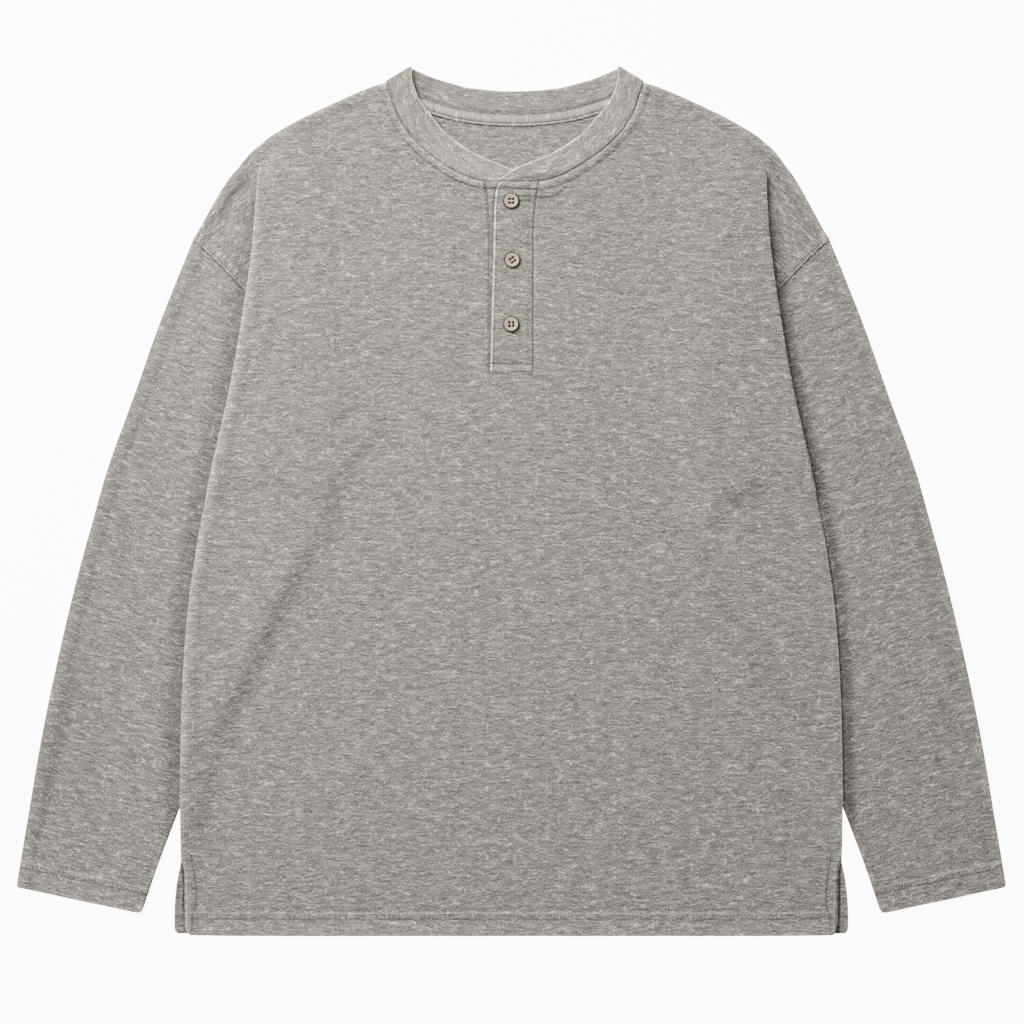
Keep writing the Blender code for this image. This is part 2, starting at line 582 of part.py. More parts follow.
def sleeve(name, verts, tris, lines, mirror, material):
    """A sleeve: one flattened tube, open at the armhole and the cuff."""
    edges, inward = rim(verts, tris)
    on_rim = np.zeros(len(verts), bool)
    on_rim[edges] = True
    closed = near_lines(verts, lines, ("sleeve_top", "underseam")) & on_rim
    open_end = near_lines(verts, lines, ("armhole", "cuff")) & on_rim
    end_inset = np.where(open_end & ~closed, seam_gap(verts, False), 0.0)
    corner = open_end & closed
    outer_inset, outer_w = np.where(closed, ROUND_IN, end_inset), np.where(closed, FAR - ROUND_DROP, FAR)
    inner_inset, inner_w = np.where(closed, WALL, end_inset), np.full(len(verts), NEAR)
    skins = []
    for inset, w in ((outer_inset, outer_w), (inner_inset, inner_w), (inner_inset, -inner_w),
                     (outer_inset, -outer_w), (np.where(corner, NEAR, 0.0), np.zeros(len(verts)))):
        place, normal = lay(verts + inward * (inset * on_rim)[:, None], False)
        skins.append(place + w[:, None] * normal)
    n = len(verts)
    top, under_top, over_back, bottom, fold = (k * n for k in range(5))
    faces = [t + top for t in tris] + [t[::-1] + under_top for t in tris]
    faces += [t + over_back for t in tris] + [t[::-1] + bottom for t in tris]
    for a, b in edges:
        if closed[a] and closed[b] and not (corner[a] and corner[b]):
            faces.append((a + top, a + fold, b + fold, b + top))
            faces.append((a + fold, a + bottom, b + bottom, b + fold))
            faces.append((a + under_top, b + under_top, b + over_back, a + over_back))
        else:
            faces.append((a + top, a + under_top, b + under_top, b + top))
            faces.append((a + over_back, a + bottom, b + bottom, b + over_back))
    for a, b in edges:
        for here, other, order in ((a, b, 1), (b, a, -1)):
            joined = closed[a] and closed[b] and not (corner[a] and corner[b])
            if corner[here] and joined:
                end = [here + k for k in (top, under_top, over_back, bottom, fold)]
                faces.append(end[::order])
    points = np.vstack(skins)
    keep = np.zeros(len(points), bool)
    for face in faces:
        keep[list(face)] = True
    index = np.cumsum(keep) - 1
    points, faces = points[keep], [index[list(face)] for face in faces]
    if mirror:
        lean = LEAN * smooth((points[:, 1] - LEAN_FROM) / LEAN_LENGTH)
        points[:, 0] = 2 * lean - points[:, 0]
        faces = [face[::-1] for face in faces]
    return add_object(name, points, faces, material)


def loft(name, rings, material, smooth_angle=50.0):
    """A solid through closed sections with equal numbers of points, its two ends capped."""
    rings = np.array(rings)
    count, around = rings.shape[:2]
    faces = [(i * around + k, i * around + (k + 1) % around,
              (i + 1) * around + (k + 1) % around, (i + 1) * around + k)
             for i in range(count - 1) for k in range(around)]
    faces += [range(around)[::-1], range((count - 1) * around, count * around)]
    made = add_object(name, rings.reshape(-1, 3), faces, material, smooth_angle)
    shape = bmesh.new()
    shape.from_mesh(made.data)
    bmesh.ops.recalc_face_normals(shape, faces=shape.faces)
    shape.to_mesh(made.data)
    shape.free()
    return made


def leaned(points):
    points = np.array(points, float)
    points[..., 0] += LEAN * smooth((points[..., 1] - LEAN_FROM) / LEAN_LENGTH)
    return points


def neckband(material):
    """A doubled strip round the neck, turned under at both shoulders and lapped in front."""
    half = BAND_THICK / 2
    low = FAR + NEAR + half
    peak, corner = np.array(FRONT_FREE[0]), np.array(FRONT_SEAM[0])
    fold = (corner - peak) / np.hypot(*(corner - peak))
    outward = np.array([-fold[1], fold[0]])
    radius = (low + NECK_RISE - half) / 2

    def flat_sections(seam, free, height, count):
        return [Section(np.append(a, height(a)), np.append(b, height(b)), np.array([0.0, 0.0, 1.0]))
                for a, b in zip(resample(seam, count), resample(free, count))]

    def front_half(end, lift):
        free_rows, seam_end = end

        def height(p):
            return (low + NECK_RISE * smooth((p[1] - RISE_FROM) / RISE_LENGTH)
                    + lift * smooth((LAP_FROM - p[0]) / LAP_LENGTH))
        return flat_sections(FRONT_SEAM + [Point(seam_end, BAND_END_Y)], FRONT_FREE + free_rows,
                             height, BAND_FRONT_SECTIONS)

    def turned():
        top = np.append(corner, half + radius)
        edge = np.append(peak, half + radius)
        found = []
        for angle in BAND_TURN_ANGLES:
            normal = np.append(outward * np.sin(angle), np.cos(angle))
            found.append(Section(top + normal * radius, edge + normal * radius, normal))
        return found

    def mirrored(sections):
        flip = np.array([-1.0, 1.0, 1.0])
        return [Section(s.seam * flip, s.free * flip, s.normal * flip) for s in sections]

    back = flat_sections(BACK_SEAM, BACK_FREE, lambda p: half, BAND_BACK_SECTIONS)
    back = [s._replace(normal=-s.normal) for s in back]
    over = front_half(OVER_END, BAND_THICK + GAP)
    under = front_half(UNDER_END, 0.0)
    sections = (over[::-1] + turned() + back + mirrored(back)[-2::-1] + mirrored(turned())[::-1]
                + mirrored(under))
    rings = []
    for seam, free, normal in sections:
        width = np.linalg.norm(free - seam)
        across = (free - seam) / width
        edge = min(SOFT_EDGE, 0.4 * width)
        profile = [(NEAR, -1.0), (NEAR, 1.0)] + [(width - edge * e.back, e.level) for e in ROUNDED]
        rings.append([seam + across * c + normal * half * n for c, n in profile])
    return loft("neckband", leaned(rings), material)


def resample(rows, count):
    """The given number of even points on the smooth curve through a table's rows."""
    fine = through(rows, 1.0)
    run = np.concatenate([[0.0], np.cumsum(np.hypot(*np.diff(fine, axis=0).T))])
    at = np.linspace(0.0, run[-1], count)
    return np.stack([np.interp(at, run, fine[:, k]) for k in range(2)], axis=1)


def neck_tape(material):
    """A tape on the inside of the back, along its neck seam."""
    seam = through(BACK_SEAM, TAPE_STEP)
    seam = np.vstack([seam, seam[-2::-1] * [-1.0, 1.0]])
    seam = seam[np.abs(seam[:, 0]) < TAPE_HALF_LENGTH][::TAPE_EVERY]
    along = np.gradient(seam, axis=0)
    down = np.stack([along[:, 1], -along[:, 0]], axis=1) / np.hypot(*along.T)[:, None]
    down *= -np.sign(down[:, 1:])
    bottom = WALL + GAP
    top = bottom + TAPE_THICK
    rings = []
    for point, way in zip(seam, down):
        profile = ((GAP, bottom), (GAP, top), (TAPE_WIDTH - TAPE_EDGE, top),
                   (TAPE_WIDTH, bottom + TAPE_EDGE), (TAPE_WIDTH, bottom))
        rings.append([np.append(point + way * c, z) for c, z in profile])
    return loft("neck_tape", leaned(rings), material)


def strip_section(left, right, y, bottom, rounded):
    """Closed section of a placket strip; bottom gives the height of its underside at x."""
    half = STRIP_THICK / 2
    first = left + (SOFT_EDGE if rounded else 0.0)
    inner = np.array([first, OVER_STEP_FROM, (OVER_STEP_FROM + OVER_STEP_TO) / 2, OVER_STEP_TO, right])
    inner = inner[inner <= right]
    under = [(x, y, bottom(x)) for x in inner]
    over = [(x, y, bottom(x) + STRIP_THICK) for x in inner[::-1]]
    edge = [(left + SOFT_EDGE * e.back, y, bottom(left) + half + half * e.level) for e in ROUNDED[1:-1]]
    return over + (edge if rounded else []) + under


def placket_under(material):
    rows = np.linspace(BAND_END_Y - NEAR, UNDER_BOTTOM, UNDER_ROWS)
    rings = [strip_section(NEAR - NOTCH_HALF, UNDER_RIGHT, y, lambda x: FAR + NEAR, False)
             for y in rows]
    return loft("placket_under", leaned(rings), material)


def over_strip_base(x, y):
    """Height of the over strip's underside."""
    across = (OVER_STEP_TO - x) / (OVER_STEP_TO - OVER_STEP_FROM)
    up = (y - NOTCH_Y - OVER_END_UP) / OVER_END_LENGTH
    return FAR + NEAR + (STRIP_THICK + GAP) * smooth(across) * smooth(up)


def placket_over(material):
    rows = [BAND_END_Y - NEAR, *OVER_ROWS, NOTCH_Y + NEAR]
    rings = []
    for y in rows:
        share = (rows[0] - y) / (rows[0] - rows[-1])
        left = OVER_LEFT_TOP + (OVER_LEFT_BOTTOM - OVER_LEFT_TOP) * share
        rings.append(strip_section(left, NOTCH_HALF - NEAR, y, lambda x: over_strip_base(x, y), True))
    return loft("placket_over", leaned(rings), material)


def button(row, material):
    """A dished button with four holes, resting on the over strip."""
    base = over_strip_base(row.x, row.y) + STRIP_THICK + GAP
    place = leaned([[row.x, row.y, base]])[0] * MM
    mesh = bpy.data.meshes.new(row.name)
    mesh.from_pydata([(p.radius * MM, 0.0, p.height * MM) for p in BUTTON_PROFILE],
                     [(i, i + 1) for i in range(len(BUTTON_PROFILE) - 1)], [])
    mesh.materials.append(material)
    made = bpy.data.objects.new(row.name, mesh)
    made.location = place
    SHIRT.objects.link(made)
    screw = made.modifiers.new("turn", "SCREW")
    screw.steps = screw.render_steps = BUTTON_SEGMENTS
    screw.use_merge_vertices = True
    screw.merge_threshold = 0.0001
    screw.use_smooth_shade = True
    cutter_mesh = bpy.data.meshes.new(row.name + "_holes")
    holes = bmesh.new()
    for side in (-1, 1):
        for end in (-1, 1):
            spot = Vector((side * BUTTON_HOLE_OFF, end * BUTTON_HOLE_OFF, 1.0)) * MM
            radius = BUTTON_HOLE_RADIUS * MM
            bmesh.ops.create_cone(holes, cap_ends=True, segments=HOLE_SEGMENTS, radius1=radius,
                                  radius2=radius, depth=6.0 * MM, matrix=Matrix.Translation(spot))
    holes.to_mesh(cutter_mesh)
    holes.free()
    cutter = bpy.data.objects.new(row.name + "_holes", cutter_mesh)
    cutter.location = place
    cutter.hide_render = True
    cutter.display_type = "WIRE"
    CUTTERS.objects.link(cutter)
    cut = made.modifiers.new("holes", "BOOLEAN")
    cut.object = cutter
    cut.solver = "EXACT"
    return made


def new_material(name, colour, roughness):
    material = bpy.data.materials.new(name)
    material.use_nodes = True
    shader = material.node_tree.nodes["Principled BSDF"]
    shader.inputs["Base Color"].default_value = (*colour, 1.0)
    shader.inputs["Roughness"].default_value = roughness
    shader.inputs["Metallic"].default_value = 0.0
    return material


for old in list(bpy.data.objects):
    bpy.data.objects.remove(old)
SHIRT = bpy.data.collections.new("henley_shirt")
CUTTERS = bpy.data.collections.new("cutters")
bpy.context.scene.collection.children.link(SHIRT)
bpy.context.scene.collection.children.link(CUTTERS)

KNIT = new_material("heather_knit", (0.352, 0.332, 0.309), 0.95)
BAND_KNIT = new_material("neckband_knit", (0.352, 0.332, 0.309), 0.95)
TAPE_CLOTH = new_material("tape_cloth", (0.39, 0.37, 0.34), 0.9)
BUTTON_RESIN = new_material("button_resin", (0.44, 0.37, 0.33), 0.35)

VERTS, PIECES, LINES = cut_cloth()
panel("front", *both_halves(VERTS, PIECES["front"]), LINES, 1, KNIT)
panel("back", *both_halves(VERTS, PIECES["back"]), LINES, -1, KNIT)
sleeve("sleeve_left", *compact(VERTS, PIECES["sleeve"]), LINES, False, KNIT)
sleeve("sleeve_right", *compact(VERTS, PIECES["sleeve"]), LINES, True, KNIT)
neckband(BAND_KNIT)
neck_tape(TAPE_CLOTH)
placket_under(KNIT)
placket_over(KNIT)
for BUTTON in BUTTONS:
    button(BUTTON, BUTTON_RESIN)
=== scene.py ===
"""Long-sleeved henley shirt, laid flat on its back with the sleeves folded in under the body.

The shirt is drawn as it is cut, flat, and one fold map lays it, as in its solids. The cloth is
a thin shell with its seams, hems, creases and stitches in the mesh. Lengths in the tables are
in millimetres; meshes are made in metres.
"""

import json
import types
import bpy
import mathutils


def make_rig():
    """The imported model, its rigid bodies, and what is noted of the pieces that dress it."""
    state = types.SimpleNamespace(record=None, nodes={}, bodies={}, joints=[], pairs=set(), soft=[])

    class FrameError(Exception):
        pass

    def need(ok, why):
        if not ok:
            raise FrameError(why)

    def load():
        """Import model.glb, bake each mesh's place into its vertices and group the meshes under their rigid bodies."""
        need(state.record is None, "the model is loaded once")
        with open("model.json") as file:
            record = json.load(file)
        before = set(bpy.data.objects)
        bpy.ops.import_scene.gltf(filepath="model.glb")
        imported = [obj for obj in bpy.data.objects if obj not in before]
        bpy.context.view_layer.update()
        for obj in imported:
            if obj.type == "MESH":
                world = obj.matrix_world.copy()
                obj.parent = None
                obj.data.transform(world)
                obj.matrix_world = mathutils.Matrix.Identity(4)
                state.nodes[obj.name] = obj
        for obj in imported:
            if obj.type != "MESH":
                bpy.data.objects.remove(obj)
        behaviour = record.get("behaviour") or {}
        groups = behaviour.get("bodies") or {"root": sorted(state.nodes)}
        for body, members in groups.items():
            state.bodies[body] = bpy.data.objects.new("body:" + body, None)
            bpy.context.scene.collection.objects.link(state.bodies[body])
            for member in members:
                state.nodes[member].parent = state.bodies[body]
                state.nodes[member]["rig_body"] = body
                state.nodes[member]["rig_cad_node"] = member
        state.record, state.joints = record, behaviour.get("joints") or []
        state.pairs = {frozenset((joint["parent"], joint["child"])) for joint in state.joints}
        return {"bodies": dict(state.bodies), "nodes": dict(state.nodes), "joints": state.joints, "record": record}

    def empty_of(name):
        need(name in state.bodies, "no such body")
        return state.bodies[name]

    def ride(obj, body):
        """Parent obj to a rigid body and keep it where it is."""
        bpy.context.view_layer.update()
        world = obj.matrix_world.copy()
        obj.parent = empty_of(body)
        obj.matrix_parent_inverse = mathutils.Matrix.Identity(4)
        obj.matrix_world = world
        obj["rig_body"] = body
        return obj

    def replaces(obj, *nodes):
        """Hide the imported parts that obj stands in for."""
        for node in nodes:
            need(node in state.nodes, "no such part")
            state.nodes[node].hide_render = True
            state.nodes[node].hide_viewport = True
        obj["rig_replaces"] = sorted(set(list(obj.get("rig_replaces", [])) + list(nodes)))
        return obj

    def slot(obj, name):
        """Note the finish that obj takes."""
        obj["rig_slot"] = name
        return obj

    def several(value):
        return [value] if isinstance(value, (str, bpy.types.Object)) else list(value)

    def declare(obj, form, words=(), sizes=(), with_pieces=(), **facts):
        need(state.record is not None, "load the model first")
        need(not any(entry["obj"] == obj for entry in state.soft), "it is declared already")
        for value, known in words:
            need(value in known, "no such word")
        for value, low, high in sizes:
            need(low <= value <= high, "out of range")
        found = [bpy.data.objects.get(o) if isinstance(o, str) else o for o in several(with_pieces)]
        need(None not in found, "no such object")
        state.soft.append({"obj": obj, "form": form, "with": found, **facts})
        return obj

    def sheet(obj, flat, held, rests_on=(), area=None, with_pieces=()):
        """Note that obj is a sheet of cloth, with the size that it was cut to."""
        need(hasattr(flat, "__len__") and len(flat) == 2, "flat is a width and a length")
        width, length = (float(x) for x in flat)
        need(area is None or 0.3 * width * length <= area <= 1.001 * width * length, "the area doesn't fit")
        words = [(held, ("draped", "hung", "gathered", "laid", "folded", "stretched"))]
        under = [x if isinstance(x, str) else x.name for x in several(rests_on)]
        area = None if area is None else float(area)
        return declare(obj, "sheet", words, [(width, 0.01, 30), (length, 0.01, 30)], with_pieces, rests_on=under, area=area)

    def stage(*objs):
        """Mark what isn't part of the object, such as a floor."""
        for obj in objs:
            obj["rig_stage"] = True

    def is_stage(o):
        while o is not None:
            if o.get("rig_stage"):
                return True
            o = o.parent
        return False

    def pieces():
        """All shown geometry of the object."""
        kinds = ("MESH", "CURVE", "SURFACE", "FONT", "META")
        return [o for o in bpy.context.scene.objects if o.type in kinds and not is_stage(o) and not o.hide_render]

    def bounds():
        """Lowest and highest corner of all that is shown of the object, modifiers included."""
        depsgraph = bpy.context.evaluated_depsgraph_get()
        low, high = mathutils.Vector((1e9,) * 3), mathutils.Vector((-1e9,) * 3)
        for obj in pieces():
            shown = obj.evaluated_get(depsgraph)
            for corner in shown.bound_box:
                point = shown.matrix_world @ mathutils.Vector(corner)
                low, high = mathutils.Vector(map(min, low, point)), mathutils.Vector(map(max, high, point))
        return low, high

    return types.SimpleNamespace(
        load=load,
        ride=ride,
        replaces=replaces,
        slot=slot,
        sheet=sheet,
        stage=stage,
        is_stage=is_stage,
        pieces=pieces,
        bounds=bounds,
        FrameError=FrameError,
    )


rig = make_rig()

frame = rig.load()

import json
from collections import namedtuple

import bmesh
import bpy
import numpy as np
from bpy.props import FloatProperty, FloatVectorProperty, PointerProperty
from mathutils import Vector
from mathutils.geometry import delaunay_2d_cdt
from mathutils.kdtree import KDTree

bl_info = {
    "name": "Henley shirt, laid flat",
    "version": (1, 0, 0),
    "blender": (4, 5, 0),
    "location": "3D View > Sidebar > Henley shirt",
    "description": "Cloth, buttons and stitching of a henley shirt round its packed solids",
    "category": "Object",
}

MM = 0.001

# Cloth
WALL = 1.25                     # one layer of the knit
GAP = 0.3                       # between pieces that touch
NEAR = GAP / 2                  # a layer's inner skin, from the neutral surface
FAR = NEAR + WALL               # its outer skin
TURN = 1.6                      # radius of a fold, at the neutral surface
BAND_THICK, STRIP_THICK = 2.2, 1.6
TAPE_THICK, TAPE_WIDTH, TAPE_HALF_LENGTH = 1.0, 9.2, 86.0

# The fold under each arm
WEDGE = np.radians(18.5)        # cloth turned under; the sleeve swings in by twice this
UNDERARM_Y = 18.0
# The body sinks loosely beside the hidden fold, and closely beside the hidden underseam
LOOSE_DRAPE, CLOSE_DRAPE = 75.0, 22.0
CLOSE_FROM, CLOSE_LENGTH = 245.0, 50.0
CLOSE_TURN = np.radians(5.0)
DRAPE_MARGIN = 5.0
CURL_LENGTH = 90.0              # length over which the side seam's curl dies away
BOW_FROM, BOW_LENGTH = 60.0, 140.0
FOLD_SEAM_GAP = 0.8             # more room on each side of a seam that goes round a fold

# The neck's place on the shirt as it lies, and how the front rises over the back neckband
LEAN, LEAN_FROM, LEAN_LENGTH = 3.0, 250.0, 90.0
NECK_RISE, NECK_RISE_WIDTH = 1.4, 45.0
RISE_FROM, RISE_LENGTH, RISE_FROM_SHOULDER = 300.0, 35.0, 16.0
LAP_FROM, LAP_LENGTH = 23.0, 14.0

SEWN = 0.02                     # half the gap of a close seam where it shows
SEAM_LAP = 0.8                  # the armhole seam's lower layers meet this far inside it
TAPE_LAP = 0.12                 # the neck tape reaches this far over the back neck seam

# Placket
NOTCH_Y = 111.0
UNDER_RIGHT, UNDER_BOTTOM = 12.0, 126.0
OVER_STEP_FROM, OVER_STEP_TO = 12.4, 16.4
OVER_END_LENGTH, OVER_END_UP = 9.0, 3.0
BAND_END_Y = 274.0

HEM_Y, BACK_HEM_RISE, HEM_LEVEL_FROM = -374.1, 2.0, 215.0

Side = namedtuple("Side", "y half_width")
Button = namedtuple("Button", "name x y turn")

SIDE = [Side(*row) for row in (
    (289.0, 217.6), (229.6, 221.3), (177.2, 227.9), (100.6, 240.9), (29.2, 256.8),
    (-36.1, 269.5), (-97.2, 278.4), (-171.1, 283.1), (-257.1, 284.7), (-308.7, 284.2),
)]
SHOULDER = [
    (110.5, 359.1), (120.9, 356.2), (138.5, 349.2), (153.5, 342.4), (170.2, 334.5),
    (186.7, 326.0), (202.6, 316.6), (210.4, 311.6), (217.5, 305.7), (224.6, 299.9),
    (233.5, 297.5), (242.7, 296.6), (251.7, 294.6), (260.7, 292.2), (278.2, 286.2),
    (295.4, 279.5), (304.2, 276.8),
]
ARMHOLE = [
    (304.2, 276.8), (300.4, 249.8), (296.4, 216.5), (288.2, 165.0), (277.5, 110.0),
    (267.0, 58.0),
]
SLEEVE_TOP = [
    (304.2, 276.8), (337.7, 257.9), (384.5, 228.6), (443.2, 186.6), (499.9, 143.3),
    (556.4, 99.6), (610.9, 54.5), (663.6, 8.1), (714.3, -39.8), (753.0, -76.4),
]
UNDERSEAM = [
    (270.6, 32.3), (287.4, 41.0), (311.0, 42.5), (334.5, 36.5), (351.3, 25.1), (380.0, 10.4),
    (414.4, -6.2), (449.4, -23.6), (486.7, -43.1), (522.7, -61.1), (556.8, -80.9),
    (579.5, -94.9), (594.2, -104.6), (613.6, -116.8), (644.4, -136.2), (667.0, -151.4),
    (680.2, -160.6),
]
# The cuff's edge, with its corners rounded
CUFF = [
    SLEEVE_TOP[-1], (755.2, -79.0), (755.1, -81.8), (752.9, -84.5), (737.4, -102.2),
    (721.2, -121.1), (703.4, -141.4), (689.4, -157.7), (686.8, -160.4), (683.8, -161.9),
    UNDERSEAM[-1],
]
# The rows of stitching on a cuff run straight, past its rounded corners
CUFF_ROW = [(756.6, -80.2), (683.5, -164.5)]
FRONT_SEAM = [
    (110.5, 359.1), (106.3, 346.6), (101.5, 332.8), (93.3, 319.1), (84.5, 309.0),
    (73.5, 299.2), (57.7, 288.1), (40.8, 279.2), (22.2, 274.3), (0.0, 274.0),
]
FRONT_FREE = [
    (87.6, 371.4), (88.4, 363.6), (85.9, 353.6), (80.8, 342.5), (72.3, 331.6), (61.9, 318.6),
    (46.1, 306.2), (30.1, 297.0), (12.5, 289.6),
]
OVER_END = [(2.8, 285.6), (-6.7, 278.6), (-12.2, 275.5)], -12.2
UNDER_END = [(2.0, 285.4), (-8.0, 281.5)], -8.0
BACK_SEAM = [
    (110.5, 359.1), (95.5, 351.6), (79.6, 345.1), (62.0, 339.2), (45.0, 335.0), (22.0, 332.1),
    (0.0, 331.3),
]
BACK_FREE = [
    (87.6, 371.4), (70.8, 364.0), (51.7, 358.3), (35.3, 354.6), (13.0, 352.5), (0.0, 352.3),
]
FRONT_VENT = [
    (283.7, -308.7), (281.0, -318.0), (280.6, -345.0), (279.9, -366.0), (278.8, -371.0),
    (275.6, HEM_Y + 0.7),
]
BACK_VENT = [
    (283.7, -308.7), (287.6, -328.0), (289.6, -348.0), (289.8, -366.6), (289.0, -369.8),
    (286.8, HEM_Y + BACK_HEM_RISE),
]
# Half width of the slot for the placket, which flares at the neck
NOTCH = [Side(*row) for row in (
    (274.0, 22.8), (266.0, 21.6), (258.9, 20.6), (248.5, 19.6), (237.4, 18.9), (225.0, 18.5),
    (168.0, 18.5), (NOTCH_Y, 18.5),
)]
NOTCH_TOP = NOTCH[0].half_width
# The over strip's free edge, from the top
OVER_EDGE = [
    (-10.2, 273.9), (-12.0, 270.5), (-13.1, 267.5), (-14.0, 258.9), (-14.6, 250.3),
    (-15.0, 237.4), (-15.2, 224.5), (-16.2, 181.5), (-17.3, 138.5), (-18.2, 110.0),
]
BUTTONS = [
    Button("button_1", 0.0, 257.1, 0.0), Button("button_2", 0.9, 206.4, 0.6),
    Button("button_3", 0.0, 151.4, 1.62),
]

# Mesh steps
EDGE_STEP = 3.4
GRID_STEP, GRID_END = 5.2, (770.0, 380.0)
TURN_STEPS = 8
FOLD_ROWS = np.concatenate([[4.0, 8.0, 12.0, 17.0, 22.5], np.arange(28.0, 393.0, 5.2)])
ROWS_APART = 0.45
GRID_CLEAR = 0.62

# Rows of points beside each seam and edge, by distance, where its stitching is modelled
HEM_ROWS = (0.6, 1.6, 3.2, 5.5, 9.0, 12.0, 13.4, 14.0, 14.6, 15.2, 15.9, 17.2, 18.4, 19.1, 19.8,
            20.5, 21.3, 22.6, 25.0)
ROWS = {
    "shoulder": (0.8, 2.0, 3.6, 5.4, 7.4, 9.4, 11.4, 13.5),
    "armhole": (-11.4, -9.8, -8.4, -6.8, -5.2, -3.6, -2.8, -2.2, -1.6, -1.0, -0.5,
                0.5, 1.0, 1.6, 2.2, 3.0, 4.2, 5.8, 7.0, 8.4, 9.8, 11.4),
    "side": (0.5, 1.0, 1.5, 2.0, 2.6, 3.4, 4.6, 6.4, 8.6, 11.0, 14.0),
    "front_vent": (-3.2, -2.4, -1.4, -0.6, 0.5, 1.0, 1.6, 2.3, 3.1, 4.2, 5.6, 7.2, 9.0, 11.0),
    "back_vent": (0.6, 1.2, 2.0, 3.6, 5.6, 6.8, 7.4, 8.0, 8.8, 11.0),
    "front_hem": HEM_ROWS,
    "back_hem": HEM_ROWS,
    "neck": (0.6, 1.2, 2.0, 3.0, 4.2, 5.4, 6.1, 6.6, 7.1, 7.6, 8.1, 8.7, 9.6, 11.0, 13.0),
    "back_neck": (0.6, 1.2, 2.2, 3.7, 5.4, 6.8, 7.8, 8.6, 9.2, 9.8, 10.4, 11.1, 12.4),
    "notch": (0.5, 1.0, 1.6, 2.2, 3.2, 5.0),
    "sleeve_top": (0.5, 1.2, 2.2, 3.6, 6.0, 8.6, 11.5, 14.0, 16.5),
    "underseam": (-0.5, -1.2, -2.2, -3.6, -6.0, 0.6, 1.6),
    "cuff": (0.6, 1.6, 3.2, 5.5),
    "cuff_row": (9.0, 13.0, 15.0, 16.0, 16.6, 17.2, 17.8, 18.6, 19.8, 20.8, 21.5, 22.1, 22.6,
                 23.1, 23.8, 25.0),
}
# Rows beside the body's laid edge: on the cloth beyond it, and on the part before the fold
BEYOND_EDGE = (0.8, 2.0, 3.6, 5.6, 8.5, 12.0, 17.0)
BEFORE_FOLD = (1.0, 2.4, 4.2, 6.5, 9.5, 13.0)
EDGE_ROW_STEP = 3.4

# Ridges and grooves beside each seam and edge: middle, half width, height and tone in stops; the
# side that has the tone, or 0 for both; and its strength at the two ends of the line
# The tone is painted light and shade: shade in the grooves and beside the edges, highlight on the ridges and rims
Ridge = namedtuple("Ridge", "away width height tone side first last", defaults=(0, 1.0, 1.0))
RIGHT, LEFT = -1, 1
RIDGES = {
    "front": {
        "armhole": [(0.3, 0.9, 0.10, 0.90), (2.2, 0.9, -0.10, -0.40), (4.8, 3.8, 0.42, 0.14),
            (7.6, 2.0, 0.12, 0.20), (10.2, 1.6, -0.20, -0.24)],
        "front_hem": [(14.6, 1.0, -0.40, -0.60), (19.8, 1.6, 0.24, 0.55), (7.0, 7.0, 0.34, 0.14),
            (22.4, 1.6, -0.20, -0.15), (1.4, 4.4, 0.0, 0.36), (9.0, 5.0, 0.0, 0.10)],
        "neck": [(0.0, 0.7, -0.50, 0.0), (1.5, 1.7, 0.55, 0.62), (3.9, 3.4, 0.60, 0.12),
            (6.4, 1.1, -0.50, -1.05, RIGHT, 0.2, 1.9), (7.6, 1.2, -0.3, -1.55, LEFT, 0.6, 1.15),
            (9.0, 1.8, 0.16, 0.10)],
        "notch": [(0.0, 1.0, -0.25, -0.95, LEFT), (1.6, 0.9, 0.16, 0.45, LEFT),
            (1.5, 1.3, -0.16, -0.70, RIGHT), (3.2, 1.2, 0.0, 0.25, RIGHT)],
        "front_vent": [(0.9, 1.0, 0.0, -1.70, LEFT), (3.0, 1.3, 0.05, 0.50, LEFT),
            (1.4, 1.2, 0.05, 0.60, RIGHT), (4.2, 2.6, 0.20, 0.08)],
        "shoulder": [(1.5, 3.4, 0.08, 0.40), (9.4, 3.4, -0.35, -0.30),
            (3.0, 4.0, 0.0, -0.12, RIGHT, -0.2, 1.2)],
        "side": [(9.6, 4.4, -0.28, 0.0), (4.6, 3.0, 0.14, 0.0)],
    },
    "back": {
        "armhole": [(0.0, 1.1, -0.50, -1.0), (9.6, 1.2, -0.26, -0.30)],
        "back_hem": [(14.6, 1.0, -0.40, -0.60), (19.8, 1.6, 0.0, 0.45)],
        "back_neck": [(0.0, 1.1, -0.50, -1.1), (9.7, 1.3, -0.34, -1.45)],
        "back_vent": [(0.6, 1.1, 0.0, 0.40), (7.4, 1.0, -0.30, -0.70)],
        "front_vent": [(0.9, 1.8, 0.0, -2.0, LEFT), (0.9, 1.8, 0.0, -1.7, RIGHT, 1.4, 0.3),
            (5.0, 1.6, 0.0, -0.35)],
        "shoulder": [(6.4, 2.6, -0.30, -0.35)],
        "side": [(9.6, 4.4, -0.22, -0.20), (4.6, 3.0, 0.0, 0.20)],
    },
    "sleeve": {
        "armhole": [(0.6, 1.0, -0.40, -1.50), (2.0, 1.4, -0.12, -0.22),
            (0.6, 1.0, 0.0, -0.40, LEFT), (4.2, 2.2, -0.10, -0.10)],
        "cuff_row": [(17.2, 1.1, -0.40, -0.55), (22.6, 1.5, 0.24, 0.60), (9.0, 8.0, 0.34, 0.10),
            (24.8, 1.6, -0.20, -0.15)],
        "cuff": [(1.4, 3.2, 0.0, 0.30)],
        "sleeve_top": [(11.5, 4.2, -0.32, -0.14), (11.5, 4.2, 0.0, -0.26, RIGHT),
            (2.4, 2.4, 0.06, 0.20)],
        "underseam": [(6.0, 2.6, -0.22, -0.20), (2.6, 1.8, 0.05, 0.14),
            (0.4, 1.5, 0.0, -1.1, RIGHT), (0.2, 1.1, 0.0, -0.4, LEFT)],
    },
}
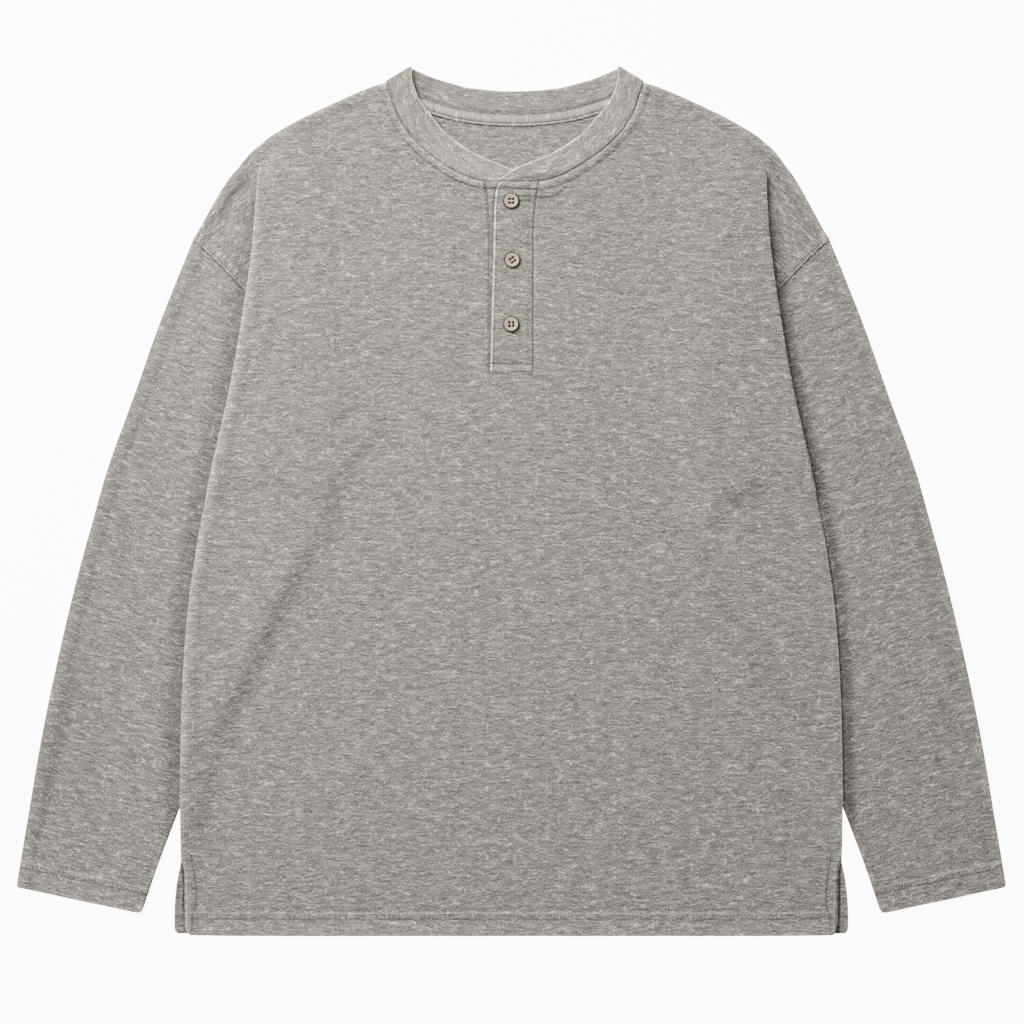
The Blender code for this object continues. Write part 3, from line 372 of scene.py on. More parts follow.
# Lines of stitching that follow no seam, as cut: points, half width, height, tone and side
MARK_ROWS = (-1.8, -1.1, -0.5, 0.0, 0.5, 1.1, 1.8)
# Their tone is painted shade in the sunk stitched grooves
MARKS = {
    "front": [
        ([(275.0, -304.4), (272.2, -319.1), (270.6, -332.8), (270.7, -347.4), (273.6, -357.8),
          (273.8, -373.2)], 1.0, -0.36, -0.95, 0),
        ([(283.0, -309.6), (274.2, -309.6)], 0.8, -0.2, -0.6, 0),
        ([(277.5, -332.8), (270.6, -332.8)], 0.8, -0.2, -0.6, 0),
        ([(20.0, 260.9), (32.3, 260.9), (40.9, 264.9), (45.0, 268.0)], 1.5, -0.35, -1.45, LEFT),
    ],
}
# Bands of puckers across a seam: its line, where the band starts and ends, and its strength
# The puckers are bumped, and their light and shade is also painted into the colour
LADDERS = {
    "front": [("front_hem", 14.6, 20.6, 1.0), ("neck", 0.8, 6.4, 0.35), ("armhole", 1.6, 8.8, 1.3),
              ("front_vent", 1.6, 8.0, 0.4)],
    "back": [("back_hem", 14.6, 20.6, 1.0), ("back_neck", 0.8, 7.4, 0.35),
             ("armhole", 1.6, 9.6, 0.5), ("back_vent", 1.0, 7.2, 0.6)],
    "sleeve": [("cuff_row", 17.2, 23.2, 1.3)],
}


def smooth(t):
    """0 to 1 with level ends."""
    t = np.clip(t, 0.0, 1.0)
    return t * t * (3.0 - 2.0 * t)


def bump(t):
    """1 in the middle, 0 from t = 1 on."""
    return np.maximum(0.0, 1.0 - t * t) ** 2


def relief_at(away, rows):
    """Height and tone at distances from a line, from rows of middle, half width, height, tone."""
    total = np.zeros((2, *np.shape(away)))
    for middle, width, height, tone in rows:
        shape = bump((away - middle) / width)
        total += np.array([height * shape, tone * shape])
    return total


def through(rows, step=EDGE_STEP):
    """Evenly spaced points on a smooth curve through a table's rows, ends included."""
    p = np.array(rows, float)
    ends = np.vstack([2 * p[0] - p[1], p, 2 * p[-1] - p[-2]])
    t = np.linspace(0.0, 1.0, 17)[:-1, None]
    dense = []
    for a, b, c, d in zip(ends, ends[1:], ends[2:], ends[3:]):
        dense.append(0.5 * (2 * b + (c - a) * t + (2 * a - 5 * b + 4 * c - d) * t**2
                            + (3 * b - a - 3 * c + d) * t**3))
    dense = np.vstack(dense + [p[-1:]])
    run = run_of(dense)
    at = np.linspace(0.0, run[-1], max(1, int(round(run[-1] / step))) + 1)
    return along_line(at, run, dense)


def run_of(points):
    """Length along a line of points, from its start."""
    return np.concatenate([[0.0], np.cumsum(np.linalg.norm(np.diff(points, axis=0), axis=1))])


def along_line(at, run, values):
    """Values held at each point of a line, taken at the given lengths along it."""
    return np.stack([np.interp(at, run, column) for column in np.transpose(values)], axis=1)


def down_table(y, value):
    """A function of y from a table that runs downwards."""
    return lambda at: np.interp(-at, -y, value)


side_half_width = down_table(*through(SIDE, 4.0).T)
notch_half = down_table(*through(NOTCH, 4.0).T)
over_edge_x = down_table(*through(OVER_EDGE, 2.0).T[::-1])


def hinge(y):
    """Where the body's cloth starts to turn under, as it lies."""
    return side_half_width(y) - TURN - FAR


APEX = np.array([hinge(SIDE[0].y), SIDE[0].y])
QUARTER = TURN * np.pi / 2
FOLD_ANGLE = np.arctan2(hinge(UNDERARM_Y) - APEX[0], APEX[1] - UNDERARM_Y)
UNDERARM_RUN = (APEX[1] - UNDERARM_Y) / np.cos(FOLD_ANGLE)
WHOLE_FOLD_RUN = np.pi * TURN / WEDGE


def from_apex(run, angle):
    """A point by its distance from the apex and its angle, from straight down to the outside."""
    return np.stack([APEX[0] + run * np.sin(angle), APEX[1] - run * np.cos(angle)], axis=-1)


UNDERARM = from_apex(UNDERARM_RUN, FOLD_ANGLE + QUARTER / UNDERARM_RUN)


def fold_sizes(run):
    """Angle of each turn, length of the straight part between the turns, and cloth taken up."""
    turn = np.pi * np.minimum(1.0, run / WHOLE_FOLD_RUN)
    straight = np.maximum(0.0, WEDGE * run - np.pi * TURN)
    return turn, straight, 2 * TURN * (turn - np.sin(turn)) + 2 * straight


def bow(x, y):
    """Sideways shift that gives the straight fold the soft curve of the body's edge."""
    line = APEX[0] + np.tan(FOLD_ANGLE) * (APEX[1] - y)
    shift = np.where((y > UNDERARM_Y) & (y < APEX[1]), hinge(y) - line, 0.0)
    return shift * smooth((x - BOW_FROM) / BOW_LENGTH)


def fold_sideways(run, angle):
    """Angle as laid, drop below the fold's start, and tilt of the cloth."""
    turn, straight, taken = fold_sizes(run)
    s = run * (angle - FOLD_ANGLE)
    flat = np.zeros_like(s)
    parts = [s <= 0, s < TURN * turn, s < TURN * turn + straight, s < 2 * TURN * turn + straight]
    tilt = np.select(parts, [flat, s / TURN, turn, 2 * turn - (s - straight) / TURN], flat)
    across = np.select(
        parts,
        [s, TURN * np.sin(tilt), TURN * np.sin(turn) + (s - TURN * turn) * np.cos(turn),
         2 * TURN * np.sin(turn) - TURN * np.sin(tilt) + straight * np.cos(turn)],
        s - taken * (1 - smooth((angle - np.pi / 2) / (np.pi / 2))))
    drop = np.select(
        parts,
        [flat, TURN * (1 - np.cos(tilt)),
         TURN * (1 - np.cos(turn)) + (s - TURN * turn) * np.sin(turn),
         TURN * (1 + np.cos(tilt) - 2 * np.cos(turn)) + straight * np.sin(turn)],
        2 * TURN * (1 - np.cos(turn)))
    return FOLD_ANGLE + across / np.maximum(run, 1e-6), drop, tilt


def polar(x, y):
    return np.hypot(x - APEX[0], APEX[1] - y), np.arctan2(x - APEX[0], APEX[1] - y)


def laid_underseam():
    """The hidden underseam as it lies: the part that is turned under, then the part beyond."""
    run, angle = polar(*through([UNDERARM] + UNDERSEAM, 6.0).T)
    laid = fold_sideways(run, angle)[0]
    points = from_apex(run, laid)
    under = angle < FOLD_ANGLE + WEDGE
    return points[under], points[~under]


UNDER_PART, OUTER_PART = laid_underseam()
FAR_OUT = 900.0
SLEEVE_AREA = np.vstack([APEX[None], OUTER_PART,
                         [[FAR_OUT, OUTER_PART[-1, 1]], [FAR_OUT, APEX[1]]]])
FOLD_AREA = np.vstack([APEX[None], UNDER_PART[::-1]])


def inside(points, loop):
    x, y = points[:, :1], points[:, 1:]
    ax, ay = loop.T
    bx, by = np.roll(loop, -1, axis=0).T
    crosses = (ay > y) != (by > y)
    with np.errstate(divide="ignore", invalid="ignore"):
        hit = x < (bx - ax) * (y - ay) / (by - ay) + ax
    return (crosses & hit).sum(axis=1) % 2 == 1


CHUNK = 4000


def nearest(points, line, closed=False):
    """Distance of each point from a line of points, and the length along the line to there."""
    ends = np.vstack([line, line[:1]]) if closed else line
    a, b = ends[:-1], ends[1:]
    along, run = b - a, run_of(ends)
    size = np.maximum((along**2).sum(-1), 1e-12)
    away, at = np.zeros(len(points)), np.zeros(len(points))
    for start in range(0, len(points), CHUNK):
        part = points[start:start + CHUNK, None]
        t = np.clip(((part - a) * along).sum(-1) / size, 0, 1)
        apart = np.hypot(*(part - a - t[..., None] * along).transpose(2, 0, 1))
        k = apart.argmin(axis=1)
        row = np.arange(len(k))
        away[start:start + CHUNK] = apart[row, k]
        at[start:start + CHUNK] = run[k] + t[row, k] * (run[k + 1] - run[k])
    return away, at


def distance(points, line, closed=False):
    return nearest(points, line, closed)[0]


def drape_length(points):
    run, angle = polar(*points.T)
    close = np.maximum(smooth((run - CLOSE_FROM) / CLOSE_LENGTH),
                       smooth((angle - FOLD_ANGLE + WEDGE) / CLOSE_TURN))
    return LOOSE_DRAPE + (CLOSE_DRAPE - LOOSE_DRAPE) * close


def sunk(points, area):
    """1 over a hidden layer, down to 0 where the cloth has sunk to the layer below."""
    away = np.where(inside(points, area), 0.0, distance(points, area, closed=True))
    return 1 - smooth((away - DRAPE_MARGIN) / drape_length(points))


def level(x, y, run, angle, drop):
    """Height of the neutral surface, where the drop of the fold has been taken off."""
    points = np.stack([x, y], axis=1)
    whole = fold_sizes(run)[0]
    closed = (1 - np.cos(whole)) / 2
    over = sunk(points, SLEEVE_AREA) + sunk(points, FOLD_AREA) * closed
    outer = 1 - closed
    behind = np.abs(angle) > np.pi / 2
    share = np.where(behind, 0.5 + 0.5 * smooth((np.pi - np.abs(angle)) / (np.pi / 2))
                     * -np.sign(angle), np.where(angle > FOLD_ANGLE, 0.0, 1.0))
    folded = (angle > FOLD_ANGLE) & ~behind
    stack = np.where(folded, 1 + closed, share * over + (1 - share) * outer)
    return FAR + 2 * TURN * stack - np.where(folded, drop, 0.0)


def lean(y):
    """Sideways shift of the upper part of the shirt as it lies."""
    return LEAN * smooth((y - LEAN_FROM) / LEAN_LENGTH)


def leaned(points):
    points = np.array(points, float)
    points[..., 0] += lean(points[..., 1])
    return points


def other_side(points):
    """Laid points of the left half, mirrored. Both halves lean the same way."""
    return np.column_stack([2 * lean(points[:, 1]) - points[:, 0], points[:, 1:]])


def lay(cut, body):
    """Where points of the flat cut lie: the neutral surface and its normal."""
    side = np.where(cut[:, 0] < 0, -1.0, 1.0)
    x, y = np.abs(cut[:, 0]), cut[:, 1]
    run, angle = polar(x, y)
    laid, drop, tilt = fold_sideways(run, angle)
    if body:
        low = y < UNDERARM_Y
        curl = 1 - smooth((UNDERARM_Y - y) / CURL_LENGTH)
        beyond = np.maximum(0.0, x - hinge(y)) * low
        tilt = np.where(low, beyond / TURN * curl, tilt)
        angle = np.where(low, np.minimum(angle, FOLD_ANGLE), angle)
    place = from_apex(run, laid)
    across = np.stack([np.cos(laid), np.sin(laid)], axis=1)
    if body:
        curled_x = x - beyond * (1 - np.sinc(tilt / np.pi))
        place = np.where(low[:, None], np.stack([curled_x, y], axis=1), place)
        across = np.where(low[:, None], [[1.0, 0.0]], across)
        drop = np.where(low, beyond * (1 - np.cos(tilt)) / np.maximum(tilt, 1e-9), drop)
    height = level(place[:, 0], place[:, 1], run, angle, drop)
    if body:
        height = height - np.where(low, drop, 0.0)
    normal = np.column_stack([across * np.sin(tilt)[:, None], np.cos(tilt)])
    place[:, 0] += bow(place[:, 0], place[:, 1])
    place[:, 0] *= side
    normal[:, 0] *= side
    return np.column_stack([leaned(place), height]), normal


SHOULDER_CURVE = through(SHOULDER)
NECK_CURVE = through(FRONT_SEAM)


def half_of(cut):
    return np.column_stack([np.abs(cut[:, 0]), cut[:, 1]])


def neck_rise(cut):
    """How far the front is lifted beside the neck, where it lies over the back neckband."""
    half = half_of(cut)
    near = 1 - smooth(distance(half, NECK_CURVE) / NECK_RISE_WIDTH)
    return (NECK_RISE * near * smooth((cut[:, 1] - RISE_FROM) / RISE_LENGTH)
            * smooth(distance(half, SHOULDER_CURVE) / RISE_FROM_SHOULDER))


def chain(points, start):
    return [(start + i, start + i + 1) for i in range(len(points) - 1)]


def outlines():
    """Every seam and edge of one half as cut, by name."""
    side_y = np.arange(UNDERARM_Y, SIDE[-1].y, -EDGE_STEP)[1:]
    side = np.column_stack([side_half_width(side_y) - TURN - FAR + QUARTER, side_y])
    vent = np.array([[SIDE[-1].half_width - TURN - FAR + QUARTER, SIDE[-1].y]])
    front_vent, back_vent = (through([vent[0]] + rows[1:]) for rows in (FRONT_VENT, BACK_VENT))
    slot_top = np.interp(NOTCH_TOP, NECK_CURVE[::-1, 0], NECK_CURVE[::-1, 1]) - NEAR
    slot = through([(NOTCH_TOP, slot_top)] + [(row.half_width, row.y) for row in NOTCH[1:]])
    end = through([slot[-1], (0.0, NOTCH_Y)])
    return {
        "shoulder": SHOULDER_CURVE,
        "armhole": through(ARMHOLE + [UNDERARM]),
        "side": np.vstack([UNDERARM[None], side, vent]),
        "front_vent": front_vent,
        "back_vent": back_vent,
        "front_hem": through([front_vent[-1], (HEM_LEVEL_FROM, HEM_Y), (0.0, HEM_Y)]),
        "back_hem": through([back_vent[-1], (0.0, HEM_Y + BACK_HEM_RISE)]),
        "middle": through([(0.0, HEM_Y), (0.0, BACK_SEAM[-1][1])], GRID_STEP),
        "neck": NECK_CURVE,
        "back_neck": through(BACK_SEAM),
        "notch": np.vstack([slot, end[1:]]),
        "sleeve_top": through(SLEEVE_TOP),
        "underseam": through([UNDERARM] + UNDERSEAM),
        "cuff": through(CUFF, EDGE_STEP / 2),
    }


def piece_loops(lines):
    """Closed outline of each piece's half, as cut."""
    neck = lines["neck"][lines["neck"][:, 0] > NOTCH_TOP][::-1]
    body = [lines["shoulder"], lines["armhole"], lines["side"]]
    front = np.vstack([lines["notch"][::-1], neck, *body, lines["front_vent"], lines["front_hem"]])
    back = np.vstack([lines["back_neck"][::-1]] + body + [lines["back_vent"], lines["back_hem"]])
    sleeve = np.vstack([lines["sleeve_top"], lines["cuff"], lines["underseam"][::-1],
                        lines["armhole"][::-1]])
    return {"front": front, "back": back, "sleeve": sleeve}


def beside(line, away):
    """A line beside another, on its right as it runs."""
    along = np.gradient(line, axis=0)
    right = np.stack([along[:, 1], -along[:, 0]], axis=1) / np.hypot(*along.T)[:, None]
    return line + right * away


def fold_grid():
    """Rows and columns of points across the fold, and the edges between them."""
    points, edges, before = [APEX], [], None
    for run in FOLD_ROWS:
        turn, straight, _ = fold_sizes(np.array(run))
        arc = np.linspace(0.0, 1.0, TURN_STEPS + 1) * TURN * turn
        closed = int(straight > 0)
        s = np.concatenate([arc, arc[1 - closed:] + TURN * turn + straight])
        start = len(points)
        points.extend(from_apex(run, FOLD_ANGLE + s / run))
        edges.extend(chain(s[:TURN_STEPS + 1], start))
        edges.extend(chain(s[TURN_STEPS + 1:], start + TURN_STEPS + 1))
        if before is None:
            edges.extend((0, start + i) for i in range(len(s)))
        elif len(s) == before[1]:
            edges.extend((before[0] + i, start + i) for i in range(len(s)))
        else:
            skip = TURN_STEPS + 1
            edges.extend((before[0] + i - (i >= skip), start + i) for i in range(len(s)))
        before = (start, len(s))
    return np.array(points), edges


def in_fold(points, reach):
    """Points in or within reach of the two turns of the fold."""
    run, angle = polar(*points.T)
    turn, straight, _ = fold_sizes(run)
    s = run * (angle - FOLD_ANGLE)
    first = (s > -reach) & (s < TURN * turn + reach)
    second = (s > TURN * turn + straight - reach) & (s < 2 * TURN * turn + straight + reach)
    return (run < FOLD_ROWS[-1] + reach) & (first | second)


def edge_rows():
    """Points of the cut in even rows beside the body's edge as it lies."""
    found = []
    for run in np.arange(24.0, FOLD_ROWS[-1] + 160.0, EDGE_ROW_STEP):
        turn, straight, _ = fold_sizes(run)
        angle = np.linspace(FOLD_ANGLE + (2 * TURN * turn + straight) / run, np.pi / 2, 400)
        runs = np.full(len(angle), run)
        place = from_apex(runs, fold_sideways(runs, angle)[0])
        out = place[:, 0] + bow(*place.T) - side_half_width(place[:, 1])
        for away in BEYOND_EDGE:
            if out[0] < away < out[-1]:
                found.append(from_apex(run, np.interp(away, out, angle)))
        if run < UNDERARM_RUN:
            found.extend(from_apex(run, FOLD_ANGLE - away / run) for away in BEFORE_FOLD)
    return np.array(found)


def thinned(points, cell):
    """The points without those that share a cell with an earlier one."""
    _, first = np.unique(np.round(points / cell).astype(int), axis=0, return_index=True)
    return points[np.sort(first)]


def seam_rows(lines, guides):
    """Points in rows beside the seams, marks and laid edge, clear of every line and turn."""
    rows = []
    for name, aways in ROWS.items():
        line = guides[name]
        turn = -1 if name in ("neck", "back_neck", "notch") else 1
        for away in aways:
            for way in (1, -1) if name in ("neck", "back_neck") else (1,):
                row = beside(line, away * turn * way)
                rows.append(row[distance(row, line) > 0.85 * abs(away)])
    for marks in MARKS.values():
        rows.extend(beside(through(mark[0], 2.0), away) for mark in marks for away in MARK_ROWS)
    rows = thinned(np.vstack(rows + [edge_rows()]), ROWS_APART)
    for line in lines.values():
        rows = rows[distance(rows, line) > ROWS_APART]
    return rows[~in_fold(rows, 0.5)]


def filler_points(loops, held):
    """An even grid of points over the pieces, clear of the points that are held already."""
    columns = np.arange(0.0, GRID_END[0], GRID_STEP)
    rows = np.arange(HEM_Y, GRID_END[1], GRID_STEP * 0.866)
    x, y = np.meshgrid(columns, rows)
    x = x + (np.arange(len(rows)) % 2)[:, None] * GRID_STEP / 2
    filler = np.column_stack([x.ravel(), y.ravel()])
    wanted = np.any([inside(filler, loop) for loop in loops.values()], axis=0)
    filler = filler[wanted & ~in_fold(filler, GRID_STEP * GRID_CLEAR)]
    tree = KDTree(len(held))
    for i, point in enumerate(held):
        tree.insert((*point, 0.0), i)
    tree.balance()
    clear = [tree.find((*point, 0.0))[2] > GRID_STEP * GRID_CLEAR for point in filler]
    return filler[np.array(clear)]


def doubled_areas(verts, tris):
    """Twice the area of each triangle, below 0 where it is turned over."""
    a, b, c = (verts[tris[:, k]] for k in range(3))
    return (b - a)[:, 0] * (c - a)[:, 1] - (b - a)[:, 1] * (c - a)[:, 0]


def cut_cloth():
    """Points of one half as cut, shared by both layers, each piece's triangles, and the lines."""
    lines = outlines()
    guides = {**lines, "cuff_row": through(CUFF_ROW)}
    loops = piece_loops(lines)
    points, edges = [], []
    for line in lines.values():
        edges.extend(chain(line, len(points)))
        points.extend(line)
    grid, grid_edges = fold_grid()
    edges.extend((a + len(points), b + len(points)) for a, b in grid_edges)
    points.extend(grid)
    held = np.vstack([np.array(points), seam_rows(lines, guides)])
    every = np.vstack([held, filler_points(loops, held)])
    found = delaunay_2d_cdt([Vector(p) for p in every], edges, [], 0, 1e-3)
    verts = np.array([v[:] for v in found[0]])
    tris = np.array([face for face in found[2] if len(face) == 3])
    area = doubled_areas(verts, tris)
    tris = np.where((area > 0)[:, None], tris, tris[:, ::-1])[np.abs(area) > 1e-6]
    centres = verts[tris].mean(axis=1)
    return verts, {name: tris[inside(centres, loop)] for name, loop in loops.items()}, guides


def seam_gap(verts, body):
    """Half the gap along a seam: wider where the seam runs through a fold."""
    run, angle = polar(np.abs(verts[:, 0]), verts[:, 1])
    tilt = fold_sideways(run, angle)[2]
    unfolded = body & (verts[:, 1] < UNDERARM_Y - GAP)
    return NEAR + FOLD_SEAM_GAP * np.where(unfolded, 0.0, np.sin(tilt))


def compact(verts, tris):
    used = np.unique(tris)
    index = np.full(len(verts), -1)
    index[used] = np.arange(len(used))
    return verts[used], index[tris]


def both_halves(verts, tris):
    """A half and its mirror image, joined along the middle."""
    verts, tris = compact(verts, tris)
    on_middle = np.abs(verts[:, 0]) < 1e-4
    verts[on_middle, 0] = 0.0
    index = np.arange(len(verts))
    mirrored = np.where(on_middle, index, len(verts) + np.cumsum(~on_middle) - 1)
    other = verts[~on_middle] * [-1.0, 1.0]
    return np.vstack([verts, other]), np.vstack([tris, mirrored[tris][:, ::-1]])


def rim(verts, tris):
    """Directed edges on the outside, the way inwards at each point, and which points lie there."""
    directed = np.concatenate([tris[:, [0, 1]], tris[:, [1, 2]], tris[:, [2, 0]]])
    there = set(map(tuple, directed))
    edges = np.array([e for e in map(tuple, directed) if e[::-1] not in there])
    along = verts[edges[:, 1]] - verts[edges[:, 0]]
    along /= np.hypot(*along.T)[:, None]
    inward = np.zeros_like(verts)
    for end in range(2):
        np.add.at(inward, edges[:, end], np.stack([-along[:, 1], along[:, 0]], axis=1))
    length = np.hypot(*inward.T)
    on_rim = np.zeros(len(verts), bool)
    on_rim[edges] = True
    return edges, inward / np.maximum(length, 1e-9)[:, None], on_rim


def near_lines(verts, lines, names, within=0.5):
    return np.min([distance(half_of(verts), lines[n]) for n in names], axis=0) < within


def unevenness(points, length, seed):
    """Soft irregular waves of about the given length, with a spread of 1."""
    rng = np.random.default_rng(seed)
    total = np.zeros(len(points))
    waves = 14
    for _ in range(waves):
        angle, phase = rng.uniform(0, 2 * np.pi, 2)
        k = 2 * np.pi / (length * rng.uniform(0.7, 1.6))
        total += np.cos(k * (points[:, 0] * np.cos(angle) + points[:, 1] * np.sin(angle)) + phase)
    return total * np.sqrt(2.0 / waves)


PUCKER_LENGTH, PUCKER_SHARE, PUCKER_SOFT = 13.0, 0.12, 0.8
CLOTH = {}
MATERIALS = {}


def stitched(piece, cut, side=None):
    """Height of the ridges and grooves beside a piece's seams, and their tone of painted light and shade, at points of
    its cut.
    Side is 1 or -1 for a piece that is cut for one side."""
    height, tone = np.zeros(len(cut)), np.zeros(len(cut))
    half = half_of(cut)
    sides = np.sign(cut[:, 0]) if side is None else np.full(len(cut), side)
    uneven = 1 + PUCKER_SHARE * unevenness(cut, PUCKER_LENGTH, 5)

    def here(wanted):
        return (sides == wanted) | (wanted == 0)
    for name, rows in RIDGES[piece].items():
        line = CLOTH["lines"][name]
        away, at = nearest(half, line)
        share = at / run_of(line)[-1]
        for row in (Ridge(*values) for values in rows):
            shape = bump((away - row.away) / row.width) * uneven
            strength = row.first + (row.last - row.first) * share
            height += row.height * shape
            tone += row.tone * shape * here(row.side) * strength
    for points, width, up, shade, wanted in MARKS.get(piece, []):
        shape = bump(distance(half, through(points, 2.0)) / width) * here(wanted)
        height += up * shape
        tone += shade * shape
    return height, tone


def puckers(piece, cut):
    """Strength of the puckers across the seams, and the length along the seam, at each point."""
    strength, along = np.zeros(len(cut)), np.zeros(len(cut))
    half = half_of(cut)
    for name, start, end, share in LADDERS[piece]:
        away, at = nearest(half, CLOTH["lines"][name])
        here = share * smooth((away - start) / PUCKER_SOFT) * smooth((end - away) / PUCKER_SOFT)
        along = np.where(here >= strength, np.where(here > 0, at, along), along)
        strength = np.maximum(strength, here)
    return strength, along


# Creases as they lie: a line of points, half width, height and tone, fading to both ends
# The tone is painted light and shade: shade where it is below 0, light where it is above
FRONT_CREASES = [
    ([(-222.0, 284.0), (-242.1, 257.1), (-259.0, 232.6)], 7.5, -0.7, -0.72),
    ([(-214.0, 281.0), (-229.0, 262.0), (-243.0, 243.0)], 6.0, 0.4, 0.25),
    ([(22.0, 268.0), (36.0, 271.0), (47.0, 264.0)], 6.0, 0.7, 0.1),
    ([(-153.5, -9.5), (-169.0, -37.8), (-188.0, -72.2), (-206.9, -110.1), (-223.2, -147.9),
      (-242.1, -182.3), (-257.6, -216.7), (-263.0, -248.0)], 13.0, -0.9, -0.50),
    ([(-168.0, -2.0), (-186.0, -36.0), (-204.0, -72.0), (-224.0, -112.0), (-240.0, -150.0),
      (-256.0, -184.0)], 9.0, 0.5, 0.20),
    ([(-255.0, -216.7), (-262.0, -248.5), (-264.5, -274.3), (-266.0, -305.3)], 9.0, -0.5, -0.38),
    ([(144.9, -22.4), (163.8, -50.7), (188.8, -94.6), (215.0, -138.5), (233.5, -172.9),
      (252.4, -201.2), (271.3, -223.6)], 17.0, -0.8, -0.20),
    ([(-225.8, 23.4), (-188.8, 12.5), (-150.9, 1.0)], 8.0, -0.6, -0.26),
    ([(220.6, 14.0), (196.5, 4.0), (170.7, -6.0)], 8.5, -0.7, -0.40),
    ([(-120.0, 96.0), (-146.0, 70.0), (-176.0, 52.0)], 10.0, -0.4, -0.10),
    ([(60.0, -236.0), (96.0, -252.0), (138.0, -258.0)], 12.0, 0.4, 0.06),
    ([(-98.0, -270.0), (-64.0, -282.0), (-26.0, -280.0)], 12.0, -0.4, -0.08),
]
BACK_CREASES = [
    ([(-140.0, 60.0), (-90.0, 10.0), (-64.0, -60.0)], 12.0, -0.4, -0.2),
    ([(150.0, 20.0), (120.0, -60.0), (126.0, -150.0)], 14.0, -0.5, -0.2),
    ([(-60.0, -210.0), (20.0, -226.0), (84.0, -204.0)], 10.0, -0.3, -0.15),
]
SLEEVE_CREASES = [
    ([(-369.0, -119.5), (-379.0, -165.0), (-388.5, -214.0), (-398.0, -262.0), (-405.5, -308.7)],
      7.5, -0.6, -0.42),
    ([(-330.0, -60.0), (-318.0, -118.0), (-322.0, -170.0)], 9.0, -0.4, -0.12),
    ([(-296.0, 150.0), (-340.0, 0.0), (-372.0, -150.0), (-396.0, -360.0)], 70.0, 0.0, -0.15),
    ([(362.0, 40.0), (352.0, -14.0), (360.0, -66.0)], 9.0, -0.5, -0.18),
    ([(376.0, -150.0), (366.0, -206.0), (372.0, -256.0)], 8.0, -0.4, -0.14),
]


def creased(place, creases):
    """Height of the creases at points of the laid cloth, and their tone of painted light and shade."""
    total = np.zeros((2, len(place)))
    for points, width, height, tone in creases:
        line = through(points, 6.0)
        reach = np.hypot(*(line[0] - line[-1])) * 0.6 + 2 * width
        near = np.hypot(*(place[:, :2] - line[len(line) // 2]).T) < reach
        if near.any():
            away, at = nearest(place[near][:, :2], line)
            share = at / run_of(line)[-1]
            shape = bump(away / width) * smooth(share / 0.3) * smooth((1 - share) / 0.3)
            total[:, near] += np.outer((height, tone), shape)
    return total


# Painted highlight on the body's edge with a painted shaded trough inside it, and painted shadow cast on
# the cloth beyond it: strengths in stops at the edge and a little way off, and reaches in millimetres
Edge = namedtuple("Edge", "rim rim_reach trough close shade fade")
EDGES = {RIGHT: Edge(0.80, 9.0, -0.25, -0.85, -0.70, 15.0),
         LEFT: Edge(0.55, 3.0, 0.0, -0.40, -1.05, 9.5)}
CLOSE_REACH, SHADE_REACH = 4.5, 5.0
TROUGH_FROM, TROUGH_WIDTH = 3.0, 5.0                    # beyond the rim, on the body
LOW_RIM, LOW_Y, LOW_LENGTH = 0.45, -290.0, 90.0         # the rim is weaker near the hem
EDGE_TOP, EDGE_TOP_LENGTH = SIDE[0].y + 6.0, 80.0       # and the tone fades in from the shoulder


def beyond_edge(place):
    """How far points of the laid cloth lie beyond the body's edge."""
    return np.abs(place[:, 0]) - side_half_width(np.clip(place[:, 1], SIDE[-1].y, SIDE[0].y))


def edge_light_and_shadow(place):
    """Painted highlight on and inside the body's edge, and painted shadow on the cloth beyond it, at points of the
    laid cloth.
    """
    beyond = beyond_edge(place)
    tone = np.zeros(len(place))
    low = LOW_RIM + (1 - LOW_RIM) * smooth((place[:, 1] - LOW_Y) / LOW_LENGTH)
    for side, edge in EDGES.items():
        on = (edge.rim * low * (1 - smooth(-beyond / edge.rim_reach))
              + edge.trough * bump((-beyond - edge.rim_reach - TROUGH_FROM) / TROUGH_WIDTH))
        off = ((edge.close + (edge.shade - edge.close) * smooth(beyond / CLOSE_REACH))
               * (1 - smooth((beyond - SHADE_REACH) / edge.fade)))
        tone = np.where(np.sign(place[:, 0]) == side, np.where(beyond > 0, off, on), tone)
    return tone * smooth((EDGE_TOP - place[:, 1]) / EDGE_TOP_LENGTH)


BROAD_LENGTH, BROAD_HEIGHT = 70.0, 0.16
FINE_LENGTH, FINE_HEIGHT = 24.0, 0.05
SWELL = 0.25


def swell(place, seed):
    """Soft rise of both skins over the layer below, never down into it."""
    broad = unevenness(place, BROAD_LENGTH, seed)
    fine = unevenness(place, FINE_LENGTH, seed + 1)
    return SWELL + BROAD_HEIGHT * np.tanh(broad) + FINE_HEIGHT * np.tanh(fine)


SEEDS = {"front": 11, "back": 23, ("sleeve", RIGHT): 31, ("sleeve", LEFT): 37}
# The first of these holds painted light and shade, in stops
SHADES = ("tone", "pucker", "seam_run")


